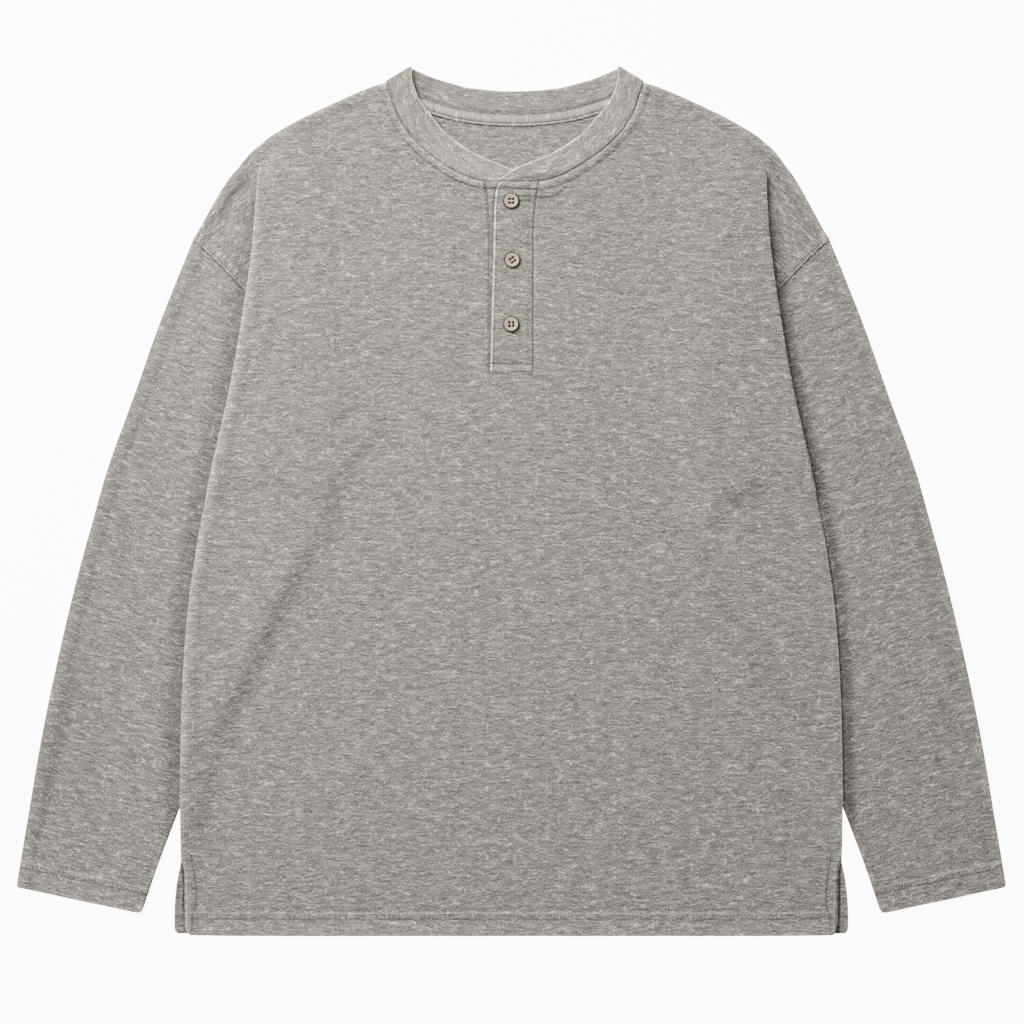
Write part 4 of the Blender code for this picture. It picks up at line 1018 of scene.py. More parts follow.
def add_mesh(name, verts, faces, material, uv, shades, smooth_angle=42.0):
    """A mesh object from millimetres. Its UV map is its flat cut; shades holds tone, pucker and
    length along the seam for each point."""
    mesh = bpy.data.meshes.new(name)
    faces = [tuple(map(int, face)) for face in faces]
    mesh.from_pydata((np.asarray(verts) * MM).tolist(), [], faces)
    layer = mesh.uv_layers.new(name="cut")
    corner = np.zeros(len(mesh.loops), np.int32)
    mesh.loops.foreach_get("vertex_index", corner)
    layer.data.foreach_set("uv", (np.asarray(uv) * MM)[corner].astype(np.float32).ravel())
    for shade, values in zip(SHADES, np.asarray(shades, np.float32).T):
        attribute = mesh.attributes.new(shade, "FLOAT", "POINT")
        attribute.data.foreach_set("value", np.ascontiguousarray(values))
    mesh.validate()
    mesh.shade_smooth()
    mesh.set_sharp_from_angle(angle=np.radians(smooth_angle))
    mesh.materials.append(material)
    made = bpy.data.objects.new(name, mesh)
    bpy.context.scene.collection.objects.link(made)
    return made


def rotation(angle):
    """A turn in the plane."""
    return np.array([[np.cos(angle), -np.sin(angle)], [np.sin(angle), np.cos(angle)]])


# Rounding of a rim between its two skins: share of the way in, share of the way up
RIM_ROUND = ((0.12, 0.86), (0.0, 0.5), (0.12, 0.14))
RIM_REACH, ROUND_REACH = 0.55, 0.7      # depth of the rounding at a seam, and at a rounded edge
CALM_LENGTH = 6.0                       # the swell dies away over this towards the side seam
SEAM_UV_SHIFT = 2000.0                  # between the cuts of the pieces, in their UV map


def skins(verts, inward, on_rim, levels, body, sign):
    """Layers of points at the given insets and heights off the neutral surface."""
    made = []
    for inset, up in levels:
        place, normal = lay(verts + inward * (inset * on_rim)[:, None], body)
        made.append(place + sign * np.reshape(up, (-1, 1)) * normal)
    return made


def panel(piece, verts, tris, sign, material):
    """The front or the back: sign 1 lies above the neutral surface, -1 below it."""
    lines = CLOTH["lines"]
    edges, inward, on_rim = rim(verts, tris)
    rounded = near_lines(verts, lines, ("shoulder", "side"))
    gap = np.where(rounded, 0.0, seam_gap(verts, True))
    base, _ = lay(verts, True)
    height, tone = stitched(piece, verts)
    fold, crease_shading = creased(base, FRONT_CREASES if sign > 0 else BACK_CREASES)
    tone = tone + crease_shading
    if sign > 0:
        gap = gap - (NEAR - SEWN) * near_lines(verts, lines, ("armhole", "notch"))
        rise = neck_rise(verts) + swell(base, SEEDS[piece]) + np.maximum(0.0, fold)
        rise = rise * (1 - np.exp(-distance(half_of(verts), lines["side"]) / CALM_LENGTH))
        height = height + np.minimum(0.0, fold)
        tone = tone + edge_light_and_shadow(base)
    else:
        gap = gap + SEAM_LAP * near_lines(verts, lines, ("armhole",)) * (gap > 0)
        rise = 0.0
        height = (np.minimum(height, 0.0) + fold
                  - FINE_HEIGHT * (1 + np.tanh(unevenness(base, FINE_LENGTH, SEEDS[piece]))))
    deep = np.where(rounded, ROUND_REACH, RIM_REACH)
    levels = [(gap + deep, FAR + np.where(on_rim, 0.0, height))]
    levels += [(gap + deep * across, NEAR + WALL * up) for across, up in RIM_ROUND]
    levels += [(gap + deep, NEAR)]
    layers = skins(verts, inward, on_rim, levels, True, sign)
    for layer in layers:
        layer[:, 2] += rise
    n, last = len(verts), len(layers) - 1
    faces = [*tris[:, ::sign], *(tris[:, ::-sign] + last * n)]
    for a, b in edges:
        for k in range(last):
            wall = (a + k * n, a + (k + 1) * n, b + (k + 1) * n, b + k * n)
            faces.append(wall[::sign])
    uv = np.vstack([verts + [SEAM_UV_SHIFT * (2 + sign), 0.0]] * len(layers))
    shades = np.tile(np.column_stack([tone, *puckers(piece, verts)]), (len(layers), 1))
    return finished_mesh(piece + "_cloth", np.vstack(layers), faces, material, uv, shades)


def finished_mesh(name, points, faces, material, uv, shades):
    """A mesh object without the points that no face uses."""
    used = np.zeros(len(points), bool)
    for face in faces:
        used[list(face)] = True
    index = np.cumsum(used) - 1
    faces = [index[list(face)] for face in faces]
    return add_mesh(name, points[used], faces, material, uv[used], shades[used])


SLEEVE_GRAIN = np.radians(-52.0)     # turn of the sleeve's cross grain from the body's
# Insets of the tube's rounded edge, and where its tip lies between the skins at an open end
TUBE_ROUND, TUBE_TIP, TIP_IN, TIP_UP = 1.0, 0.35, 0.12, 0.80
# The sleeve swells only where it is clear of the body's edge
FREE_FROM, FREE_LENGTH = 6.0, 14.0


def sleeve(name, verts, tris, side, material):
    """A sleeve: one flattened tube, open at the armhole and the cuff."""
    lines = CLOTH["lines"]
    edges, inward, on_rim = rim(verts, tris)
    closed = near_lines(verts, lines, ("sleeve_top", "underseam")) & on_rim
    open_end = near_lines(verts, lines, ("armhole", "cuff")) & on_rim
    corner = open_end & closed
    gap = np.where(open_end & ~closed, seam_gap(verts, False), 0.0)
    at_armhole = near_lines(verts, lines, ("armhole",)) * (gap > 0)
    lower, gap = gap - SEAM_LAP * at_armhole, gap - (NEAR - SEWN) * at_armhole
    base = lay(verts, False)[0] * [side, 1.0, 1.0]
    height, tone = stitched("sleeve", verts, side)
    fold, crease_shading = creased(base, SLEEVE_CREASES)
    height = height + fold
    tone = tone + crease_shading + edge_light_and_shadow(base)
    free = (smooth((beyond_edge(base) - FREE_FROM) / FREE_LENGTH)
            * smooth(distance(half_of(verts), lines["armhole"]) / FREE_LENGTH))
    height = np.where(on_rim, 0.0, np.where(height > 0, height * free, height))
    levels = []
    for inset, way, outer in ((gap, 1, FAR + height), (lower, -1, -FAR - np.minimum(0.0, height))):
        tip = np.where(closed, TUBE_TIP, inset + RIM_REACH * TIP_IN)
        skin = [(np.where(closed, TUBE_ROUND, inset + RIM_REACH), outer),
                (tip, way * (NEAR + WALL * TIP_UP)),
                (np.where(closed, WALL, inset + RIM_REACH), way * NEAR)]
        levels += skin[::way]
    levels.append((np.where(corner, NEAR, 0.0), 0.0))
    layers = skins(verts, inward, on_rim, levels, False, 1)
    for layer in layers[:3]:
        layer[:, 2] += swell(base, SEEDS["sleeve", side]) * free
    rows = [k * len(verts) for k in range(len(layers))]
    top, round_top, under_top, over_back, round_back, bottom, tip = rows
    faces = [*(tris + top), *(tris[:, ::-1] + under_top), *(tris + over_back),
             *(tris[:, ::-1] + bottom)]

    def strip(a, b, *rows):
        for one, two in zip(rows, rows[1:]):
            faces.append((a + one, a + two, b + two, b + one))

    for a, b in edges:
        if closed[a] and closed[b] and not (corner[a] and corner[b]):
            strip(a, b, top, round_top, tip, round_back, bottom)
            strip(b, a, under_top, over_back)
            for here, order in ((a, 1), (b, -1)):
                if corner[here]:
                    faces.append([here + row for row in rows][::order])
        else:
            strip(a, b, top, round_top, under_top)
            strip(a, b, over_back, round_back, bottom)
    points = np.vstack(layers)
    uv = verts @ rotation(SLEEVE_GRAIN).T + [SEAM_UV_SHIFT * (5 if side == RIGHT else 4), 0.0]
    uv = np.vstack([uv] * 3 + [uv + [0.0, SEAM_UV_SHIFT]] * 4)
    if side == RIGHT:
        points = other_side(points)
        faces = [face[::-1] for face in faces]
    shades = np.tile(np.column_stack([tone, *puckers("sleeve", verts)]), (len(layers), 1))
    return finished_mesh(name, points, faces, material, uv, shades)


def loft(name, rings, uv, tone, material, smooth_angle=50.0):
    """A shell through closed sections with equal numbers of points, its two ends capped."""
    rings = np.array(rings)
    count, around = rings.shape[:2]
    faces = [(i * around + k, i * around + (k + 1) % around,
              (i + 1) * around + (k + 1) % around, (i + 1) * around + k)
             for i in range(count - 1) for k in range(around)]
    faces += [tuple(range(around))[::-1], tuple(range((count - 1) * around, count * around))]
    tone = np.array(tone).ravel()
    shades = np.column_stack([tone, np.zeros((len(tone), 2))])
    made = add_mesh(name, rings.reshape(-1, 3), faces, material, np.array(uv).reshape(-1, 2),
                    shades, smooth_angle)
    shape = bmesh.new()
    shape.from_mesh(made.data)
    bmesh.ops.recalc_face_normals(shape, faces=shape.faces)
    shape.to_mesh(made.data)
    shape.free()
    return made


def resample(rows, count):
    """The given number of even points on the smooth curve through a table's rows."""
    fine = through(rows, 1.0)
    run = run_of(fine)
    return along_line(np.linspace(0.0, run[-1], count), run, fine)


# Half profile of the neckband, from the seam to the rolled free edge: share of width, of height
BAND_PROFILE = [
    (0.0, 0.35), (0.012, 0.72), (0.045, 0.98), (0.11, 1.06), (0.22, 1.0), (0.40, 0.98),
    (0.60, 1.0), (0.78, 1.04), (0.88, 1.06), (0.94, 0.94), (0.975, 0.70), (0.995, 0.34),
]
BAND_FRONT_SECTIONS, BAND_BACK_SECTIONS, BAND_TURNS = 96, 60, 14
TIGHT, PULLED = 0.55, 1.6       # flatness of the turn at the shoulder, and roundness of its tip
# The free edge stands up over the back neck
FREE_LIFT, LEAST_LIFT, LIFT_FROM, LIFT_LENGTH = 3.6, 0.25, 285.0, 45.0
# The band's width wavers, and it is thinner where it turns
BAND_WAVE, BAND_WAVER, TURN_THIN = 26.0, 0.004, 0.4
# Painted shade across the band from its seam, in front and behind, by middle, half width, height, tone
BAND_SHADES = {"front": [(0.7, 0.9, 0.0, -0.75)],
              "behind": [(0.0, 0.9, 0.0, -0.35), (2.2, 1.9, 0.0, -0.8)]}
# Painted shade on the band's part behind, and inside the peak under the free edge
BEHIND_SHADE, PEAK_SHADES = -0.32, {"front": -0.35, "behind": -0.45}
PEAK_FROM, PEAK_LENGTH = 70.0, 22.0                     # towards the wearer's-right shoulder
# Painted shade on the over end's band beside its seam, where it laps the under end
LAPPED_AT, LAPPED_REACH, LAPPED_SHADE = 33.0, 26.0, (3.4, 3.6, 0.0, -0.95)
# Painted highlight along the free edge's rolled rim, and at the band's first end
FREE_RIM_HIGHLIGHT, FIRST_END_HIGHLIGHT = (0.5, 1.0, 0.0, 1.5), (0.0, 1.5, 0.0, 1.3)
Section = namedtuple("Section", "seam free normal")


def free_lift(p):
    rise = smooth((p[1] - LIFT_FROM) / LIFT_LENGTH)
    return FREE_LIFT * (LEAST_LIFT + (1 - LEAST_LIFT) * rise)


def band_sections():
    """Sections of the neckband, from its upper end round the back to its lower end."""
    half = BAND_THICK / 2
    low = FAR + NEAR + half
    peak, corner = np.array(FRONT_FREE[0]), np.array(FRONT_SEAM[0])
    fold = (corner - peak) / np.hypot(*(corner - peak))
    outward = np.array([-fold[1], fold[0]])
    radius = (low + NECK_RISE - half) / 2
    free_radius = radius + free_lift(peak) / 2

    def flat_sections(seam, free, height, count, lift):
        return [Section(np.append(a, height(a)), np.append(b, height(b) + lift(b)),
                        np.array([0.0, 0.0, 1.0]))
                for a, b in zip(resample(seam, count), resample(free, count))]

    def front_half(end, lap):
        free_rows, seam_end = end

        def height(p):
            return (low + NECK_RISE * smooth((p[1] - RISE_FROM) / RISE_LENGTH)
                    + lap * smooth((LAP_FROM - p[0]) / LAP_LENGTH))
        return flat_sections(FRONT_SEAM + [(seam_end, BAND_END_Y)], FRONT_FREE + free_rows,
                             height, BAND_FRONT_SECTIONS, free_lift)

    def turned():
        top, edge = np.append(corner, half + radius), np.append(peak, half + free_radius)
        found = []
        for angle in np.linspace(0.0, np.pi, BAND_TURNS + 1)[1:-1]:
            normal = np.append(outward * np.sin(angle), np.cos(angle))
            tight = np.array([TIGHT, TIGHT, 1.0])
            pulled = np.append(fold * PULLED * np.sin(angle) ** 2, 0.0)
            found.append(Section(top + normal * tight * radius,
                                 edge + normal * tight * free_radius + pulled, normal))
        return found

    def mirrored(sections):
        flip = np.array([-1.0, 1.0, 1.0])
        return [Section(s.seam * flip, s.free * flip, s.normal * flip) for s in sections]

    back = flat_sections(BACK_SEAM, BACK_FREE, lambda p: half, BAND_BACK_SECTIONS, lambda p: 0.0)
    back = [s._replace(normal=-s.normal) for s in back]
    over, under = front_half(OVER_END, BAND_THICK + GAP), front_half(UNDER_END, 0.0)
    return (over[::-1] + turned() + back + mirrored(back)[-2::-1] + mirrored(turned())[::-1]
            + mirrored(under))


def neckband(material):
    """A doubled strip round the neck, turned under at both shoulders and lapped in front."""
    half = BAND_THICK / 2
    sections = band_sections()
    middle = np.array([(s.seam + s.free) / 2 for s in sections])
    run = run_of(middle)
    rings, uv, tone = [], [], []
    wave = unevenness(np.column_stack([run, np.zeros(len(run))]), BAND_WAVE, 3)
    for section, at, wobble in zip(sections, run, wave):
        width = np.linalg.norm(section.free - section.seam)
        across = (section.free - section.seam) / width
        usable = width - NEAR
        ring, ring_uv, ring_tone = [], [], []
        thin = 1.0 - TURN_THIN * (1.0 - section.normal[2] ** 2)
        face = "behind" if section.normal[2] < -0.5 else "front"
        start = TAPE_LAP - SEWN if face == "behind" else NEAR
        lapped = bump((at - LAPPED_AT) / LAPPED_REACH) * (section.normal[2] > 0.5)
        # Painted shade behind and inside the peak, and painted highlight at the band's first end
        even = (PEAK_SHADES[face] * smooth((-section.seam[0] - PEAK_FROM) / PEAK_LENGTH)
                + relief_at(at, [FIRST_END_HIGHLIGHT])[1] + BEHIND_SHADE * (face == "behind"))
        for side in (1, -1):
            rows = BAND_PROFILE if side > 0 else BAND_PROFILE[::-1]
            for share, rise in rows:
                c = start + share * usable * (1.0 + BAND_WAVER * wobble)
                up = side * half * (rise if side > 0 else min(rise, 1.0)) * thin
                ring.append(section.seam + across * c + section.normal * up)
                ring_uv.append((at, c + (SEAM_UV_SHIFT if side < 0 else 0.0)))
                ring_tone.append(even + relief_at(c, BAND_SHADES[face])[1]
                                 + relief_at(width - c, [FREE_RIM_HIGHLIGHT])[1]
                                 + relief_at(c, [LAPPED_SHADE])[1] * lapped * (face == "front"))
        rings.append(ring)
        uv.append(ring_uv)
        tone.append(ring_tone)
    return loft("neckband_cloth", leaned(rings), uv, tone, material)


# Section of the neck tape: distance from its seam, height from its top, and tone
# The tone is painted shade in the stitched groove and at the tape's edges, and painted highlight on its rolled lower
# edge
TAPE_PROFILE = [
    (-TAPE_LAP, -TAPE_THICK, -0.8), (-TAPE_LAP, -0.4, -0.5), (0.5, -0.1, 0.1), (1.5, 0.0, 0.25),
    (2.8, 0.05, 0.35), (4.4, 0.08, 0.2), (5.9, 0.0, -0.2), (6.6, -0.25, -0.9), (7.1, -0.35, -1.5),
    (7.5, -0.3, -1.0), (7.9, 0.0, 0.25), (8.5, 0.02, 0.4), (TAPE_WIDTH, -0.3, -0.3),
    (TAPE_WIDTH, -TAPE_THICK, -1.2),
]
# Offsets of the small pieces' cuts in their UV map
TAPE_UV, UNDER_UV, OVER_UV, STRIP_BACK_UV = 500.0, 900.0, 1000.0, 80.0


def neck_tape(material):
    """A tape on the inside of the back, along its neck seam."""
    seam = through(BACK_SEAM, 2.0)
    seam = np.vstack([seam, seam[-2::-1] * [-1.0, 1.0]])
    seam = seam[np.abs(seam[:, 0]) < TAPE_HALF_LENGTH]
    along = np.gradient(seam, axis=0)
    down = np.stack([along[:, 1], -along[:, 0]], axis=1) / np.hypot(*along.T)[:, None]
    down *= -np.sign(down[:, 1:])
    top = WALL + GAP + TAPE_THICK
    run = run_of(seam)
    rings, uv, tone = [], [], []
    for point, way, at in zip(seam, down, run):
        rings.append([np.append(point + way * c, top + up) for c, up, _ in TAPE_PROFILE])
        uv.append([(c + TAPE_UV, at) for c, _, _ in TAPE_PROFILE])
        tone.append([shade for _, _, shade in TAPE_PROFILE])
    return loft("neck_tape_cloth", leaned(rings), uv, tone, material)


def over_strip_base(x, y):
    """Height of the over strip's underside."""
    across = (OVER_STEP_TO - x) / (OVER_STEP_TO - OVER_STEP_FROM)
    up = (y - NOTCH_Y - OVER_END_UP) / OVER_END_LENGTH
    return FAR + NEAR + (STRIP_THICK + GAP) * smooth(across) * smooth(up)


STRIP_COLUMN, STRIP_ROW = 0.72, 0.95
FIRST_COLUMNS = [0.0, 0.006, 0.016, 0.03, 0.045]        # shares of the width, at the left edge
STRIP_ROUND, STRIP_EDGE = 0.9, 0.12                     # the left edge is rounded from this thin
STRIP_TOP = BAND_END_Y + NEAR - 2 * SEWN
# The neck's topstitched ridge goes on over both strips, with a second groove on the over strip
BAND_RIDGE_Y, BAND_GROOVE_Y, SECOND_GROOVE_Y, SECOND_GROOVE_FROM = 272.3, 267.9, 261.6, 3.0


def over_the_neck(x, y):
    """Height of the neck's ridge where it crosses the placket, with painted highlight on the ridge and painted shade
    in its grooves and along its seam.
    """
    groove = BAND_GROOVE_Y + 1.4 * bump((x + 5.0) / 7.0) + 0.3 * np.sin(x / 4.0)
    first = bump((y - groove) / 1.3)
    second = bump((y - SECOND_GROOVE_Y) / 1.1) * smooth((x - SECOND_GROOVE_FROM) / 2.0)
    ridge = bump((y - BAND_RIDGE_Y) / 3.0)
    tube = bump((y - (BAND_GROOVE_Y + SECOND_GROOVE_Y) / 2) / 2.6)
    height = 0.45 * ridge - 0.4 * first - 0.3 * second + 0.15 * tube
    seam = bump((y - BAND_END_Y) / 1.2)
    tone = (0.55 * ridge + 0.4 * tube - 1.7 * first - 1.6 * second
            + (0.2 - 0.9 * smooth((-x - 6.0) / 4.0)) * seam)
    return height, tone


def strip_rings(rows, left, right, base, relief):
    """Sections of a placket strip; relief gives height and tone on its upper side."""
    rings, uv, tones = [], [], []
    count = int((right(rows[0]) - left(rows[0])) / STRIP_COLUMN)
    shares = np.unique(np.concatenate([FIRST_COLUMNS, np.linspace(0.06, 1.0, count)]))
    for y in rows:
        lo, hi = left(y), right(y)
        xs = lo + (hi - lo) * shares
        ys = np.full(len(xs), y)
        under = np.column_stack([xs, ys, base(xs, y)])
        up, tone = relief(xs, ys, lo, hi)
        more_up, more_tone = over_the_neck(xs, ys)
        thick = STRIP_THICK * np.sqrt(np.clip((xs - lo) / STRIP_ROUND, STRIP_EDGE, 1.0))
        over = under + np.outer(thick + up + more_up, [0.0, 0.0, 1.0])
        rings.append(np.vstack([over, under[::-1]]))
        flat = np.column_stack([xs, ys])
        uv.append(np.vstack([flat, flat[::-1] + [STRIP_BACK_UV, 0.0]]))
        tones.append(np.concatenate([tone + more_tone, (tone + more_tone)[::-1]]))
    return rings, uv, tones


# Dip and painted shade along the under strip's sewn edge, by middle, half width, height and tone
UNDER_SEAM = [(0.0, 0.8, -0.25, 0.0), (0.0, 0.9, 0.0, -0.2)]
# Shade beside the over strip's free edge: least, more towards the neck, and where
UNDER_SHADE, SHADE_FROM, SHADE_LENGTH, SHADE_WIDTH = (0.45, 0.65), 170.0, 60.0, 3.6


def placket_under(material):
    """The lower strip, which fills the slot."""
    rows = np.arange(STRIP_TOP, UNDER_BOTTOM, -STRIP_ROW)

    def relief(x, y, lo, hi):
        total = relief_at(x - lo, UNDER_SEAM)
        total[1] -= ((UNDER_SHADE[0] + UNDER_SHADE[1] * smooth((y - SHADE_FROM) / SHADE_LENGTH))
                     * bump((x - over_edge_x(y)) / SHADE_WIDTH))
        return total
    rings, uv, tone = strip_rings(rows, lambda y: SEWN - notch_half(y), lambda y: UNDER_RIGHT,
                                  lambda x, y: np.full(len(x), FAR + NEAR), relief)
    uv = np.array(uv) + [UNDER_UV, 0.0]
    return loft("placket_under_cloth", leaned(rings), uv, tone, material)


# Relief of the over strip beside its free edge, its sewn edge and the stitches that wander
# there, by middle, half width, height and tone
# The tone is painted highlight on the rolled free edge and the sewn edge's ridge, and painted shade in the groove and
# along the sewn stitches
FREE_SIDE = [(1.0, 1.1, 0.28, 0.0), (2.8, 0.9, -0.26, 0.0), (0.8, 1.25, 0.0, 1.9),
             (2.7, 0.9, 0.0, -0.4)]
SEWN_SIDE = [(2.8, 1.8, 0.16, 0.0), (2.2, 1.2, 0.0, 0.2)]
SEWN_STITCHES = [(0.2, 0.9, -0.35, 0.0), (0.1, 0.9, 0.0, -1.5)]
STEP_LIGHT = [(14.2, 2.4, 0.0, 0.42)]                   # evens out the light on the strip's step
# The box of stitches at the strip's end: each row's height, depth and tone, and the tone between
# The tone is painted shade in the sunk rows, and the cloth between them is painted lighter
BOX_STITCHES, BOXED_TONE = [(117.6, -0.35, -0.9), (110.9, -0.25, -0.45)], 0.45
BUTTON_SHADE = [(6.5, 1.5, 0.0, -1.6), (0.0, 12.3, -0.12, 0.0)]     # round each button
HOLE_SLIT = (7.0, 16.0)       # buttonhole that shows beside the top button
# Painted shade in the buttonhole's slit, and painted light on its raised lips
SLIT_UP, SLIT, LIPS = 0.4, [(0.0, 1.1, -0.3, -1.5)], [(1.6, 0.9, 0.18, 0.2)]
# Shallow dents in the over strip, painted darker as shade
SOFT_SPOTS = [(-3.0, 130.0), (5.0, 138.0), (-4.0, 226.0), (7.0, 188.0)]
SPOT, SPOT_STRETCH = [(0.0, 7.0, -0.18, -0.16)], 1.6


def placket_over(material):
    """The upper strip, which carries the buttons."""
    rows = np.append(np.arange(STRIP_TOP, NOTCH_Y + 0.5, -STRIP_ROW), NOTCH_Y + NEAR)

    def relief(x, y, lo, hi):
        wander = 0.16 * np.sin(y / 7.0) + 0.08 * np.sin(y / 2.6 + 1.0)
        above = y - BUTTONS[0].y - SLIT_UP
        along = (x > HOLE_SLIT[0]) * (x < HOLE_SLIT[1])
        total = (relief_at(x - lo, FREE_SIDE) + relief_at(hi - x, SEWN_SIDE)
                 + relief_at(hi - x - wander, SEWN_STITCHES) + relief_at(x, STEP_LIGHT)
                 + (relief_at(above, SLIT) + relief_at(np.abs(above), LIPS)) * along)
        for row_y, up, shade in BOX_STITCHES:
            total += relief_at(y - row_y - 0.3 * np.sin(x / 3.0), [(0.0, 1.0, up, shade)])
        total[1] += BOXED_TONE * smooth(y - BOX_STITCHES[1][0]) * smooth(BOX_STITCHES[0][0] - y)
        for row in BUTTONS:
            total += relief_at(np.hypot(x - row.x, y - row.y), BUTTON_SHADE)
        for spot_x, spot_y in SOFT_SPOTS:
            total += relief_at(np.hypot(x - spot_x, (y - spot_y) / SPOT_STRETCH), SPOT)
        return total
    rings, uv, tone = strip_rings(rows, over_edge_x, lambda y: notch_half(y) - SEWN,
                                  over_strip_base, relief)
    uv = np.array(uv) + [OVER_UV, 0.0]
    return loft("placket_over_cloth", leaned(rings), uv, tone, material)


# Half section of a button, from its back round to the middle of its face: radius and height
BUTTON_PROFILE = [
    (5.2, 0.0), (5.9, 0.25), (6.25, 0.8), (6.3, 1.3), (6.15, 1.8), (5.75, 2.2), (5.3, 2.4),
    (4.85, 2.36), (4.4, 2.15), (4.05, 1.85), (3.7, 1.66), (3.2, 1.6),
]
HOLE_RADIUS, HOLE_OFF = 1.3, 1.6
HOLES = [(x, y) for x in (-HOLE_OFF, HOLE_OFF) for y in (-HOLE_OFF, HOLE_OFF)]
SOFT_EDGE = 0.09
SHADED_EDGE_FROM = 5.75              # the button's rim, which takes a darkened copy of its colour as painted shade
BUTTON_SEGMENTS, HOLE_SEGMENTS = 64, 24


def only(made):
    """Makes one object the only one selected, and active."""
    bpy.ops.object.select_all(action="DESELECT")
    made.select_set(True)
    bpy.context.view_layer.objects.active = made


def button(row, material, edge):
    """A dished button with four holes, resting on the over strip."""
    height = over_strip_base(row.x, row.y) + STRIP_THICK + GAP
    place = leaned([[row.x, row.y, height]])[0] * MM
    radius, height = BUTTON_PROFILE[0]
    bpy.ops.object.select_all(action="DESELECT")
    bpy.ops.mesh.primitive_circle_add(vertices=BUTTON_SEGMENTS, radius=radius * MM,
                                      fill_type="NGON", location=(0.0, 0.0, 0.0))
    made = bpy.context.active_object
    made.name = made.data.name = row.name + "_resin"
    bpy.ops.object.mode_set(mode="EDIT")
    bpy.ops.mesh.select_all(action="SELECT")
    for next_radius, next_height in BUTTON_PROFILE[1:]:
        bpy.ops.mesh.extrude_region_move(
            TRANSFORM_OT_translate={"value": (0.0, 0.0, (next_height - height) * MM)})
        share = next_radius / radius
        bpy.ops.transform.resize(value=(share, share, 1.0))
        radius, height = next_radius, next_height
    bpy.ops.mesh.select_all(action="SELECT")
    bpy.ops.mesh.normals_make_consistent(inside=False)
    bpy.ops.object.mode_set(mode="OBJECT")
    cutters = []
    for x, y in HOLES:
        bpy.ops.object.select_all(action="DESELECT")
        bpy.ops.mesh.primitive_cylinder_add(vertices=HOLE_SEGMENTS, radius=HOLE_RADIUS * MM,
                                            depth=8 * MM, location=(x * MM, y * MM, MM))
        cutters.append(bpy.context.active_object)
    only(cutters[0])
    for cutter in cutters:
        cutter.select_set(True)
    bpy.ops.object.join()
    only(made)
    cut = made.modifiers.new("holes", "BOOLEAN")
    cut.object, cut.solver = cutters[0], "EXACT"
    bpy.ops.object.modifier_apply(modifier=cut.name)
    bpy.data.objects.remove(cutters[0])
    soft = made.modifiers.new("soft edges", "BEVEL")
    soft.width, soft.segments = SOFT_EDGE * MM, 2
    soft.limit_method, soft.angle_limit = "ANGLE", 0.9
    bpy.ops.object.modifier_apply(modifier=soft.name)
    made.rotation_euler[2] = row.turn
    made.location = place
    bpy.ops.object.transform_apply(location=True, rotation=True, scale=True)
    bpy.ops.object.shade_smooth_by_angle(angle=0.6)
    made.data.materials.append(material)
    made.data.materials.append(edge)
    # The faces of the rim take the darkened edge material: painted shade
    for face in made.data.polygons:
        off = np.hypot(face.center.x - place[0], face.center.y - place[1]) / MM
        face.material_index = int(off > SHADED_EDGE_FROM)
    return made


# One stitch: rings of points along it, by place, width and height, and its sunk ends
STITCH_RINGS = ((-0.42, 0.75, -0.10), (0.0, 1.0, 0.12), (0.42, 0.75, -0.10))
STITCH_AROUND, STITCH_END = 6, -0.3
STITCH_LOOK, STITCH_SKEW = 0.6, 0.05        # how far its way is measured, and its spread


def stitch_shape(length, width):
    """Points and faces of one stitch along x, in millimetres."""
    points, faces = [(-length / 2, 0.0, STITCH_END)], []
    for at, share, up in STITCH_RINGS:
        for k in range(STITCH_AROUND):
            angle = 2 * np.pi * k / STITCH_AROUND
            points.append((at * length, share * width / 2 * np.cos(angle),
                           up + share * width / 2 * np.sin(angle)))
    points.append((length / 2, 0.0, STITCH_END))
    last, rings = len(points) - 1, len(STITCH_RINGS)
    for k in range(STITCH_AROUND):
        n = (k + 1) % STITCH_AROUND
        faces.append((0, 1 + n, 1 + k))
        for r in range(rings - 1):
            a, b = 1 + r * STITCH_AROUND, 1 + (r + 1) * STITCH_AROUND
            faces.append((a + k, a + n, b + n, b + k))
        end = 1 + (rings - 1) * STITCH_AROUND
        faces.append((end + k, end + n, last))
    return np.array(points), faces


def surface(piece, cut, side):
    """Points on the outer skin of a piece, and the way out of it, as laid on the left half."""
    body = piece != "sleeve"
    sign = -1 if piece == "back" else 1
    place, normal = lay(cut, body)
    height, _ = stitched(piece, cut)
    rise = np.zeros(len(cut))
    if piece == "front":
        rise = neck_rise(cut) + swell(place, SEEDS[piece])
    elif piece == "sleeve":
        rise = swell(place * [side, 1.0, 1.0], SEEDS[piece, side])
    if sign < 0:
        height = np.minimum(height, 0.0)
    out = place + sign * (FAR + height)[:, None] * normal
    out[:, 2] += rise
    return out, normal * sign


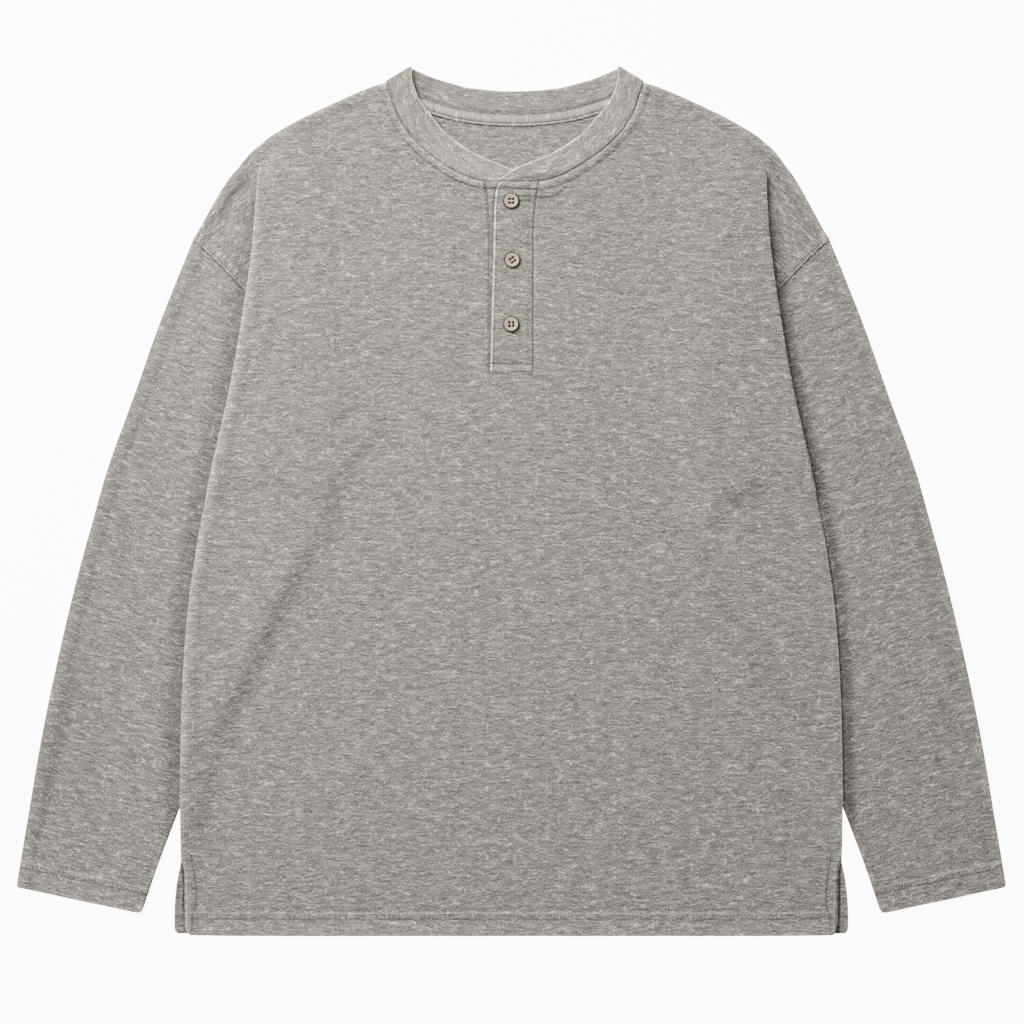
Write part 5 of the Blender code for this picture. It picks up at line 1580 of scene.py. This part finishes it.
def stitches(name, runs, length, width, pitch, material):
    """Rows of stitches as one mesh. Each run is a line of points and the way out at each."""
    shape, shape_faces = stitch_shape(length, width)
    verts, faces, uv = [], [], []
    rng = np.random.default_rng(2)
    for line, out in runs:
        run = run_of(line)
        at = np.arange(pitch / 2, run[-1], pitch)
        if not len(at):
            continue
        places, ups = along_line(at, run, line), along_line(at, run, out)
        along = along_line(at + STITCH_LOOK, run, line) - along_line(at - STITCH_LOOK, run, line)
        along /= np.linalg.norm(along, axis=1)[:, None]
        across = np.cross(ups, along)
        across /= np.linalg.norm(across, axis=1)[:, None]
        ups = np.cross(along, across)
        skew = rng.normal(0.0, STITCH_SKEW, len(at))[:, None]
        along, across = along + across * skew, across - along * skew
        for p, a, c, u in zip(places, along, across, ups):
            start = len(verts)
            verts.extend(p + shape[:, :1] * a + shape[:, 1:2] * c + shape[:, 2:] * u)
            faces.extend(tuple(start + i for i in face) for face in shape_faces)
            uv.extend(shape[:, :2] + [start * 0.37, 0.0])
    return add_mesh(name, verts, faces, material, uv, np.zeros((len(verts), len(SHADES))), 80.0)


BUTTON_THREAD = (0.045, 0.036, 0.032)
FACE_HEIGHT = 1.6
# Length, width and height of a thread that crosses the face, and of one that fills a hole
CROSSING, FILLING = (3.8, 1.5, -0.05), (2.5, 2.5, -0.75)
STRAND_FLAT = 0.8


def button_threads(material):
    """The threads that cross from hole to hole, and the thread that fills each hole."""
    shape, shape_faces = stitch_shape(1.0, 1.0)
    verts, faces = [], []
    for row in BUTTONS:
        base = over_strip_base(row.x, row.y) + STRIP_THICK + GAP + FACE_HEIGHT
        place = leaned([[row.x, row.y, 0.0]])[0][:2]
        strands = [(0.0, y, *CROSSING) for y in (-HOLE_OFF, HOLE_OFF)]
        strands += [(x, y, *FILLING) for x, y in HOLES]
        for x, y, length, width, up in strands:
            flat = (shape[:, :2] * [length, width] + [x, y]) @ rotation(row.turn).T
            start = len(verts)
            verts.extend(np.column_stack([flat + place, base + up + shape[:, 2] * STRAND_FLAT]))
            faces.extend(tuple(start + i for i in face) for face in shape_faces)
    zeros = np.zeros((len(verts), len(SHADES)))
    return add_mesh("button_threads", verts, faces, material, zeros[:, :2], zeros, 80.0)


class Value:
    """A shader socket whose arithmetic adds Math nodes."""

    def __init__(self, maker, socket):
        self.maker, self.socket = maker, socket

    def maths(self, operation, *values):
        return self.maker.add("ShaderNodeMath", {"operation": operation},
                              dict(enumerate((self,) + values)))

    def __add__(self, other):
        return self.maths("ADD", other)

    def __sub__(self, other):
        return self.maths("SUBTRACT", other)

    def __mul__(self, other):
        return self.maths("MULTIPLY", other)

    def __rsub__(self, other):
        return self.maker.add("ShaderNodeMath", {"operation": "SUBTRACT"}, {0: other, 1: self})

    def __rpow__(self, other):
        return self.maker.add("ShaderNodeMath", {"operation": "POWER"}, {0: other, 1: self})

    __radd__, __rmul__ = __add__, __mul__

    def between(self, low, high):
        """0 below low, 1 above high, soft between."""
        return self.maker.add("ShaderNodeMapRange", {"interpolation_type": "SMOOTHSTEP"},
                              {"Value": self, "From Min": low, "From Max": high})


class Maker:
    """Adds nodes to a new material."""

    def __init__(self, name):
        self.material = bpy.data.materials.new(name)
        self.material.use_nodes = True
        self.tree = self.material.node_tree
        self.shader = self.tree.nodes["Principled BSDF"]

    def add(self, kind, settings=None, inputs=None, output=0):
        node = self.tree.nodes.new(kind)
        for key, value in (settings or {}).items():
            if key == "stops":
                ramp = node.color_ramp.elements
                for i, (at, colour) in enumerate(value):
                    stop = ramp[i] if i < 2 else ramp.new(at)
                    stop.position, stop.color = at, (*colour, 1.0)
            else:
                setattr(node, key, value)
        for key, value in (inputs or {}).items():
            self.put(node.inputs[key], value)
        return Value(self, node.outputs[output])

    def put(self, socket, value):
        if isinstance(value, Value):
            self.tree.links.new(value.socket, socket)
        else:
            socket.default_value = value

    def finish(self, inputs):
        """Sets or links the shader's own sockets, by name, and gives the material."""
        for key, value in inputs.items():
            self.put(self.shader.inputs[key], value)
        return self.material

    def vector(self, operation, a, b):
        return self.add("ShaderNodeVectorMath", {"operation": operation}, {0: a, 1: b})

    def tinted(self, colour, factor):
        """A colour times a value."""
        return self.add("ShaderNodeVectorMath", {"operation": "SCALE"},
                        {0: tuple(colour), "Scale": factor})

    def noise(self, at, detail=2.0, roughness=0.5, scale=1.0, output=0):
        return self.add("ShaderNodeTexNoise", {}, {"Vector": at, "Scale": scale, "Detail": detail,
                                                   "Roughness": roughness}, output)

    def bumped(self, height, strength, depth):
        return self.add("ShaderNodeBump", {}, {"Height": height, "Strength": strength,
                                               "Distance": depth})


# Length and thickness of each kind of mark in the knit, in millimetres
GRAIN, THIN, STREAK, PATCH = (0.88, 1.55), (2.7, 1.5), (14.0, 1.8), (20.0, 7.0)
FIBRE, FIBRE_GATE = (9.5, 3.0), (9.0, 4.5)
FIBRE_WIDTH, GATE_CUT = 0.075, (0.48, 0.55)
WALE, COURSE = 1.77, 1.72
PUCKER_PITCH = 2.2


def knit_material(name, colour, contrast=1.0, course=0.13):
    """Brushed heather jersey: fine grain, a faint mesh of loops, and short curling fibres, some
    light and some dark. Course is the strength of the lines along the knit, in stops."""
    maker = Maker(name)
    cut = maker.add("ShaderNodeUVMap", {"uv_map": "cut"})
    at = maker.vector("MULTIPLY", cut, (1000.0, 1000.0, 1000.0))

    def moved(where, scale, shift):
        noise = maker.noise(at, detail=1.0, scale=scale, output=1)
        drift = maker.vector("SUBTRACT", noise, (0.5,) * 3)
        return maker.vector("ADD", where, maker.vector("MULTIPLY", drift, (0.0, shift, 0.0)))
    wavy = moved(at, 0.075, 5.0)
    curly = moved(wavy, 0.19, 2.0)

    def drawn(where, size, seed=0.0, detail=0.0):
        apart = maker.vector("ADD", where, (seed, seed * 1.7, 0.0))
        return maker.noise(maker.vector("MULTIPLY", apart, (1 / size[0], 1 / size[1], 1.0)),
                           detail=detail)

    def fibres(seed):
        """Thin curved lines, each with a faint halo, broken up into short lengths."""
        off = (drawn(curly, FIBRE, seed) - 0.5).maths("ABSOLUTE")
        line = 1.135 - off.between(0.0, FIBRE_WIDTH) - off.between(0.0, FIBRE_WIDTH * 2.6) * 0.3
        return line * drawn(at, FIBRE_GATE, seed + 37.0).between(*GATE_CUT)
    thin, streak, patch = drawn(wavy, THIN), drawn(wavy, STREAK, 71.0), drawn(wavy, PATCH, 0.0, 2.0)
    light, dark = fibres(11.0) + fibres(91.0), fibres(53.0)
    grain = drawn(at, GRAIN)
    across, up = (maker.add("ShaderNodeSeparateXYZ", {}, {"Vector": at}, output=k) for k in (0, 1))
    mesh = ((across * (2 * np.pi / WALE)).maths("SINE") * 0.13
            + (up * (2 * np.pi / COURSE)).maths("SINE") * course)
    tone, pucker, run = (maker.add("ShaderNodeAttribute", {"attribute_name": shade}, {}, output=2)
                         for shade in SHADES)
    along = maker.add("ShaderNodeCombineXYZ", {}, {"X": run * (1 / PUCKER_PITCH)})
    rib = ((maker.noise(along, detail=1.0) - 0.5) * 0.6
           + (run * (2 * np.pi / PUCKER_PITCH)).maths("SINE") * 0.11) * pucker
    marks = ((grain - 0.5) * 2.75 + (thin - 0.5) * 0.7 + (streak - 0.5) * 1.35
             + (patch - 0.5) * 0.9 + light * 0.80 - dark * 0.5 + mesh)
    # The shading attribute paints light and shade into the colour, and so does the puckers' ripple, which is also
    # bumped
    stops = marks * contrast + tone + rib * 3.0
    height = grain * 0.8 + thin * 0.5 + light * 0.3 + rib * 3.0
    return maker.finish({
        "Base Color": maker.tinted(colour, 2.0 ** stops),
        "Normal": maker.bumped(height, 0.5, 0.0006),
        "Roughness": 0.94,
        "Specular IOR Level": 0.2,
        "Sheen Weight": 0.25,
        "Sheen Roughness": 0.5,
    })


def plain_material(name, colour, roughness, spread=0.12, scale=900.0):
    """A plain finish with a little mottling, on Object coordinates."""
    maker = Maker(name)
    at = maker.add("ShaderNodeTexCoord", {}, {}, output=3)
    mottle = maker.noise(at, detail=2.0, scale=scale)
    return maker.finish({
        "Base Color": maker.tinted(colour, (mottle - 0.5) * spread * 2 + 1.0),
        "Roughness": roughness,
    })


class HenleySizes(bpy.types.PropertyGroup):
    stitch_length: FloatProperty(name="Stitch length", description="Length of one stitch",
                                 default=2.4 * MM, unit="LENGTH")
    stitch_pitch: FloatProperty(name="Stitch pitch", description="From one stitch to the next",
                                default=3.1 * MM, unit="LENGTH")
    stitch_width: FloatProperty(name="Stitch width", description="Thickness of the thread",
                                default=0.75 * MM, unit="LENGTH")
    view_distance: FloatProperty(name="View distance", description="Camera above the shirt",
                                 default=2.0785, unit="LENGTH")
    key_light: FloatProperty(name="Key light", description="Power of the main light, in watts",
                             default=53.0)


class HenleyColours(bpy.types.PropertyGroup):
    knit: FloatVectorProperty(name="Knit", description="Mean colour of the heather knit",
                              default=(0.279, 0.255, 0.225), subtype="COLOR", size=3)
    band: FloatVectorProperty(name="Neckband", description="Mean colour of the neckband",
                              default=(0.378, 0.345, 0.304), subtype="COLOR", size=3)
    tape: FloatVectorProperty(name="Tape", description="Colour of the neck tape",
                              default=(0.40, 0.37, 0.33), subtype="COLOR", size=3)
    button: FloatVectorProperty(name="Button", description="Colour of the button resin",
                                default=(0.66, 0.52, 0.40), subtype="COLOR", size=3)
    thread: FloatVectorProperty(name="Thread", description="Colour of the stitching",
                                default=(0.60, 0.57, 0.52), subtype="COLOR", size=3)
    floor: FloatVectorProperty(name="Floor", description="Colour of the floor",
                               default=(0.92, 0.92, 0.92), subtype="COLOR", size=3)


# The flat cut of each sheet. The panels' own cut is measured; a sleeve's flat is all round it.
SLEEVE_FLAT = 0.50, 0.60
Sheet = namedtuple("Sheet", "piece flat held rests_on with_pieces")
SHEETS = [
    Sheet("back_cloth", None, "folded", ["floor"], ["neck_tape_cloth"]),
    Sheet("front_cloth", None, "folded", ["back_cloth"], ["stitches_hem"]),
    Sheet("sleeve_left_cloth", None, "folded", ["floor"], ["stitches_cuffs"]),
    Sheet("sleeve_right_cloth", None, "folded", ["floor"], []),
    Sheet("neckband_cloth", (0.505, 0.022), "folded", ["front_cloth", "back_cloth"], []),
    Sheet("placket_under_cloth", (0.0305, 0.148), "laid", ["back_cloth"], []),
    Sheet("placket_over_cloth", (0.034, 0.163), "laid", ["placket_under_cloth"], []),
]


def ready_cloth():
    """The cut, made once for the panels, sleeves and stitches."""
    if not CLOTH:
        CLOTH["verts"], CLOTH["pieces"], CLOTH["lines"] = cut_cloth()
    return CLOTH


def flat_area(verts, tris):
    return abs(doubled_areas(verts, tris).sum()) / 2 * MM * MM


def placed(made, slot, node=None):
    """Says what a piece rides on, its finish, and the solid that it stands for."""
    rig.ride(made, "root")
    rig.slot(made, slot)
    if node:
        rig.replaces(made, node)
    return made


class HENLEY_OT_body(bpy.types.Operator):
    """Adds the front and the back"""
    bl_idname = "henley.body"
    bl_label = "Front and back"

    def execute(self, context):
        cloth = ready_cloth()
        knit = knit_material("heather jersey", context.scene.henley_colours.knit, 0.95)
        MATERIALS["knit"] = knit
        for name, sign in (("front", 1), ("back", -1)):
            verts, tris = both_halves(cloth["verts"], cloth["pieces"][name])
            made = panel(name, verts, tris, sign, knit)
            placed(made, "heather_knit", name)
            size = verts.max(axis=0) - verts.min(axis=0)
            CLOTH[made.name] = [float(v) * MM for v in size], float(flat_area(verts, tris))
        return {"FINISHED"}


class HENLEY_OT_sleeves(bpy.types.Operator):
    """Adds both sleeves"""
    bl_idname = "henley.sleeves"
    bl_label = "Sleeves"

    def execute(self, context):
        cloth = ready_cloth()
        knit = MATERIALS["knit"]
        for name, side in (("sleeve_left", LEFT), ("sleeve_right", RIGHT)):
            verts, tris = compact(cloth["verts"], cloth["pieces"]["sleeve"])
            made = sleeve(name + "_cloth", verts, tris, side, knit)
            placed(made, "heather_knit", name)
            CLOTH[made.name] = SLEEVE_FLAT, 2 * float(flat_area(verts, tris))
        return {"FINISHED"}


class HENLEY_OT_neckband(bpy.types.Operator):
    """Adds the neckband and the tape on the inside of the back neck"""
    bl_idname = "henley.neckband"
    bl_label = "Neckband and tape"

    def execute(self, context):
        colours = context.scene.henley_colours
        made = neckband(knit_material("neckband jersey", colours.band, 0.85, 0.25))
        placed(made, "neckband_knit", "neckband")
        made = neck_tape(knit_material("neck tape", colours.tape, 0.7))
        placed(made, "tape_cloth", "neck_tape")
        return {"FINISHED"}


class HENLEY_OT_placket(bpy.types.Operator):
    """Adds the two strips of the placket"""
    bl_idname = "henley.placket"
    bl_label = "Placket"

    def execute(self, context):
        knit = MATERIALS["knit"]
        placed(placket_under(knit), "heather_knit", "placket_under")
        placed(placket_over(knit), "heather_knit", "placket_over")
        return {"FINISHED"}


class HENLEY_OT_buttons(bpy.types.Operator):
    """Adds the three buttons"""
    bl_idname = "henley.buttons"
    bl_label = "Buttons"

    def execute(self, context):
        colours = context.scene.henley_colours
        resin = plain_material("button", colours.button, 0.32, 0.08, 500.0)
        # The edge material is the resin's colour darkened: painted shade on the button's steep rim
        edge = plain_material("button edge", [v * 0.14 for v in colours.button], 0.5, 0.08, 500.0)
        for row in BUTTONS:
            placed(button(row, resin, edge), "button_resin", row.name)
        thread = plain_material("button thread", BUTTON_THREAD, 0.8)
        placed(button_threads(thread), "button_resin")
        return {"FINISHED"}


HEM_STITCH_ROW, CUFF_STITCH_ROW = 19.8, 22.6     # distance of the stitches from the edge


def row_beside(piece, name, away):
    """A line on a piece's outer skin beside one of its seams, on each half of the shirt."""
    line = CLOTH["lines"][name]
    row = beside(line, away)
    row = row[distance(row, line) > 0.9 * abs(away)]
    left, right = surface(piece, row, LEFT), surface(piece, row, RIGHT)
    return [left, (other_side(right[0]), right[1] * [-1.0, 1.0, 1.0])]


class HENLEY_OT_stitching(bpy.types.Operator):
    """Adds the stitches of the hem and the cuffs"""
    bl_idname = "henley.stitching"
    bl_label = "Stitching"

    def execute(self, context):
        ready_cloth()
        sizes = context.scene.henley_sizes
        thread = plain_material("thread", context.scene.henley_colours.thread, 0.7)
        size = (sizes.stitch_length / MM, sizes.stitch_width / MM, sizes.stitch_pitch / MM)
        groups = {
            "stitches_hem": row_beside("front", "front_hem", HEM_STITCH_ROW),
            "stitches_cuffs": row_beside("sleeve", "cuff_row", CUFF_STITCH_ROW),
        }
        for name, runs in groups.items():
            placed(stitches(name, runs, *size, thread), "tape_cloth")
        for row in SHEETS:
            flat, area = CLOTH.get(row.piece, (row.flat, None))
            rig.sheet(bpy.data.objects[row.piece], flat=flat, area=area, held=row.held,
                     rests_on=row.rests_on, with_pieces=row.with_pieces)
        return {"FINISHED"}


# The stage, in metres: what the camera looks at, the lights, the floor and the sky
IMAGE_MIDDLE, LENS, SENSOR = (0.56 * MM, -9.63 * MM), 85.0, 36.0
KEY_PLACE, KEY_WIDTH = (-0.9, 0.95, 1.25), 0.9
FILL_PLACE, FILL_WIDTH, FILL_SHARE = (1.0, -0.6, 2.6), 2.4, 0.16
FLOOR_WIDTH, FLOOR_DROP, FLOOR_GLOW = 8.0, 0.0004, 10.0
SKY = 0.28


class HENLEY_OT_stage(bpy.types.Operator):
    """Adds the floor, the lights and the camera"""
    bl_idname = "henley.stage"
    bl_label = "Stage"

    def execute(self, context):
        scene = context.scene
        bpy.ops.object.select_all(action="DESELECT")
        bpy.ops.mesh.primitive_plane_add(size=FLOOR_WIDTH, location=(0.0, 0.0, -FLOOR_DROP))
        floor = bpy.context.active_object
        floor.name = "floor"
        floor.data.materials.append(Maker("floor").finish({
            "Base Color": (*scene.henley_colours.floor, 1.0),
            "Roughness": 0.9,
            "Emission Color": (1.0, 1.0, 1.0, 1.0),
            "Emission Strength": FLOOR_GLOW,
        }))
        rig.stage(floor)
        power = scene.henley_sizes.key_light
        for name, place, size, power in (("key", KEY_PLACE, KEY_WIDTH, power),
                                         ("fill", FILL_PLACE, FILL_WIDTH, power * FILL_SHARE)):
            lamp = bpy.data.lights.new(name, "AREA")
            lamp.size, lamp.energy = size, power
            made = bpy.data.objects.new(name, lamp)
            made.location = place
            made.rotation_euler = (-Vector(place)).to_track_quat("-Z", "Y").to_euler()
            scene.collection.objects.link(made)
        world = bpy.data.worlds.new("studio")
        scene.world = world
        world.use_nodes = True
        background = world.node_tree.nodes["Background"].inputs
        background["Color"].default_value = (1.0, 1.0, 1.0, 1.0)
        background["Strength"].default_value = SKY
        camera = bpy.data.objects.new("camera", bpy.data.cameras.new("camera"))
        camera.data.lens, camera.data.sensor_width = LENS, SENSOR
        camera.location = (*IMAGE_MIDDLE, scene.henley_sizes.view_distance)
        scene.collection.objects.link(camera)
        scene.camera = camera
        return {"FINISHED"}


OPERATORS = (HENLEY_OT_body, HENLEY_OT_sleeves, HENLEY_OT_neckband, HENLEY_OT_placket,
             HENLEY_OT_buttons, HENLEY_OT_stitching, HENLEY_OT_stage)


class HENLEY_PT_panel(bpy.types.Panel):
    """Lists the sizes, the colours and the pieces of the shirt"""
    bl_idname = "HENLEY_PT_panel"
    bl_label = "Henley shirt"
    bl_space_type = "VIEW_3D"
    bl_region_type = "UI"
    bl_category = "Henley shirt"

    def draw(self, context):
        for group in (context.scene.henley_sizes, context.scene.henley_colours):
            for name in group.bl_rna.properties.keys():
                if name not in ("rna_type", "name"):
                    self.layout.prop(group, name)
        for operator in OPERATORS:
            self.layout.operator(operator.bl_idname)


CLASSES = (HenleySizes, HenleyColours, *OPERATORS, HENLEY_PT_panel)


def register():
    for made in CLASSES:
        bpy.utils.register_class(made)
    bpy.types.Scene.henley_sizes = PointerProperty(type=HenleySizes)
    bpy.types.Scene.henley_colours = PointerProperty(type=HenleyColours)


def unregister():
    del bpy.types.Scene.henley_sizes
    del bpy.types.Scene.henley_colours
    for made in reversed(CLASSES):
        bpy.utils.unregister_class(made)


def main():
    cad_box = [list(corner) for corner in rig.bounds()]
    register()
    for operator in OPERATORS:
        group, name = operator.bl_idname.split(".")
        getattr(getattr(bpy.ops, group), name)()
    with open("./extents.json", "w") as out:
        json.dump({"cad": cad_box, "visual": [list(corner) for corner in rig.bounds()]}, out)


if __name__ == "__main__":
    main()
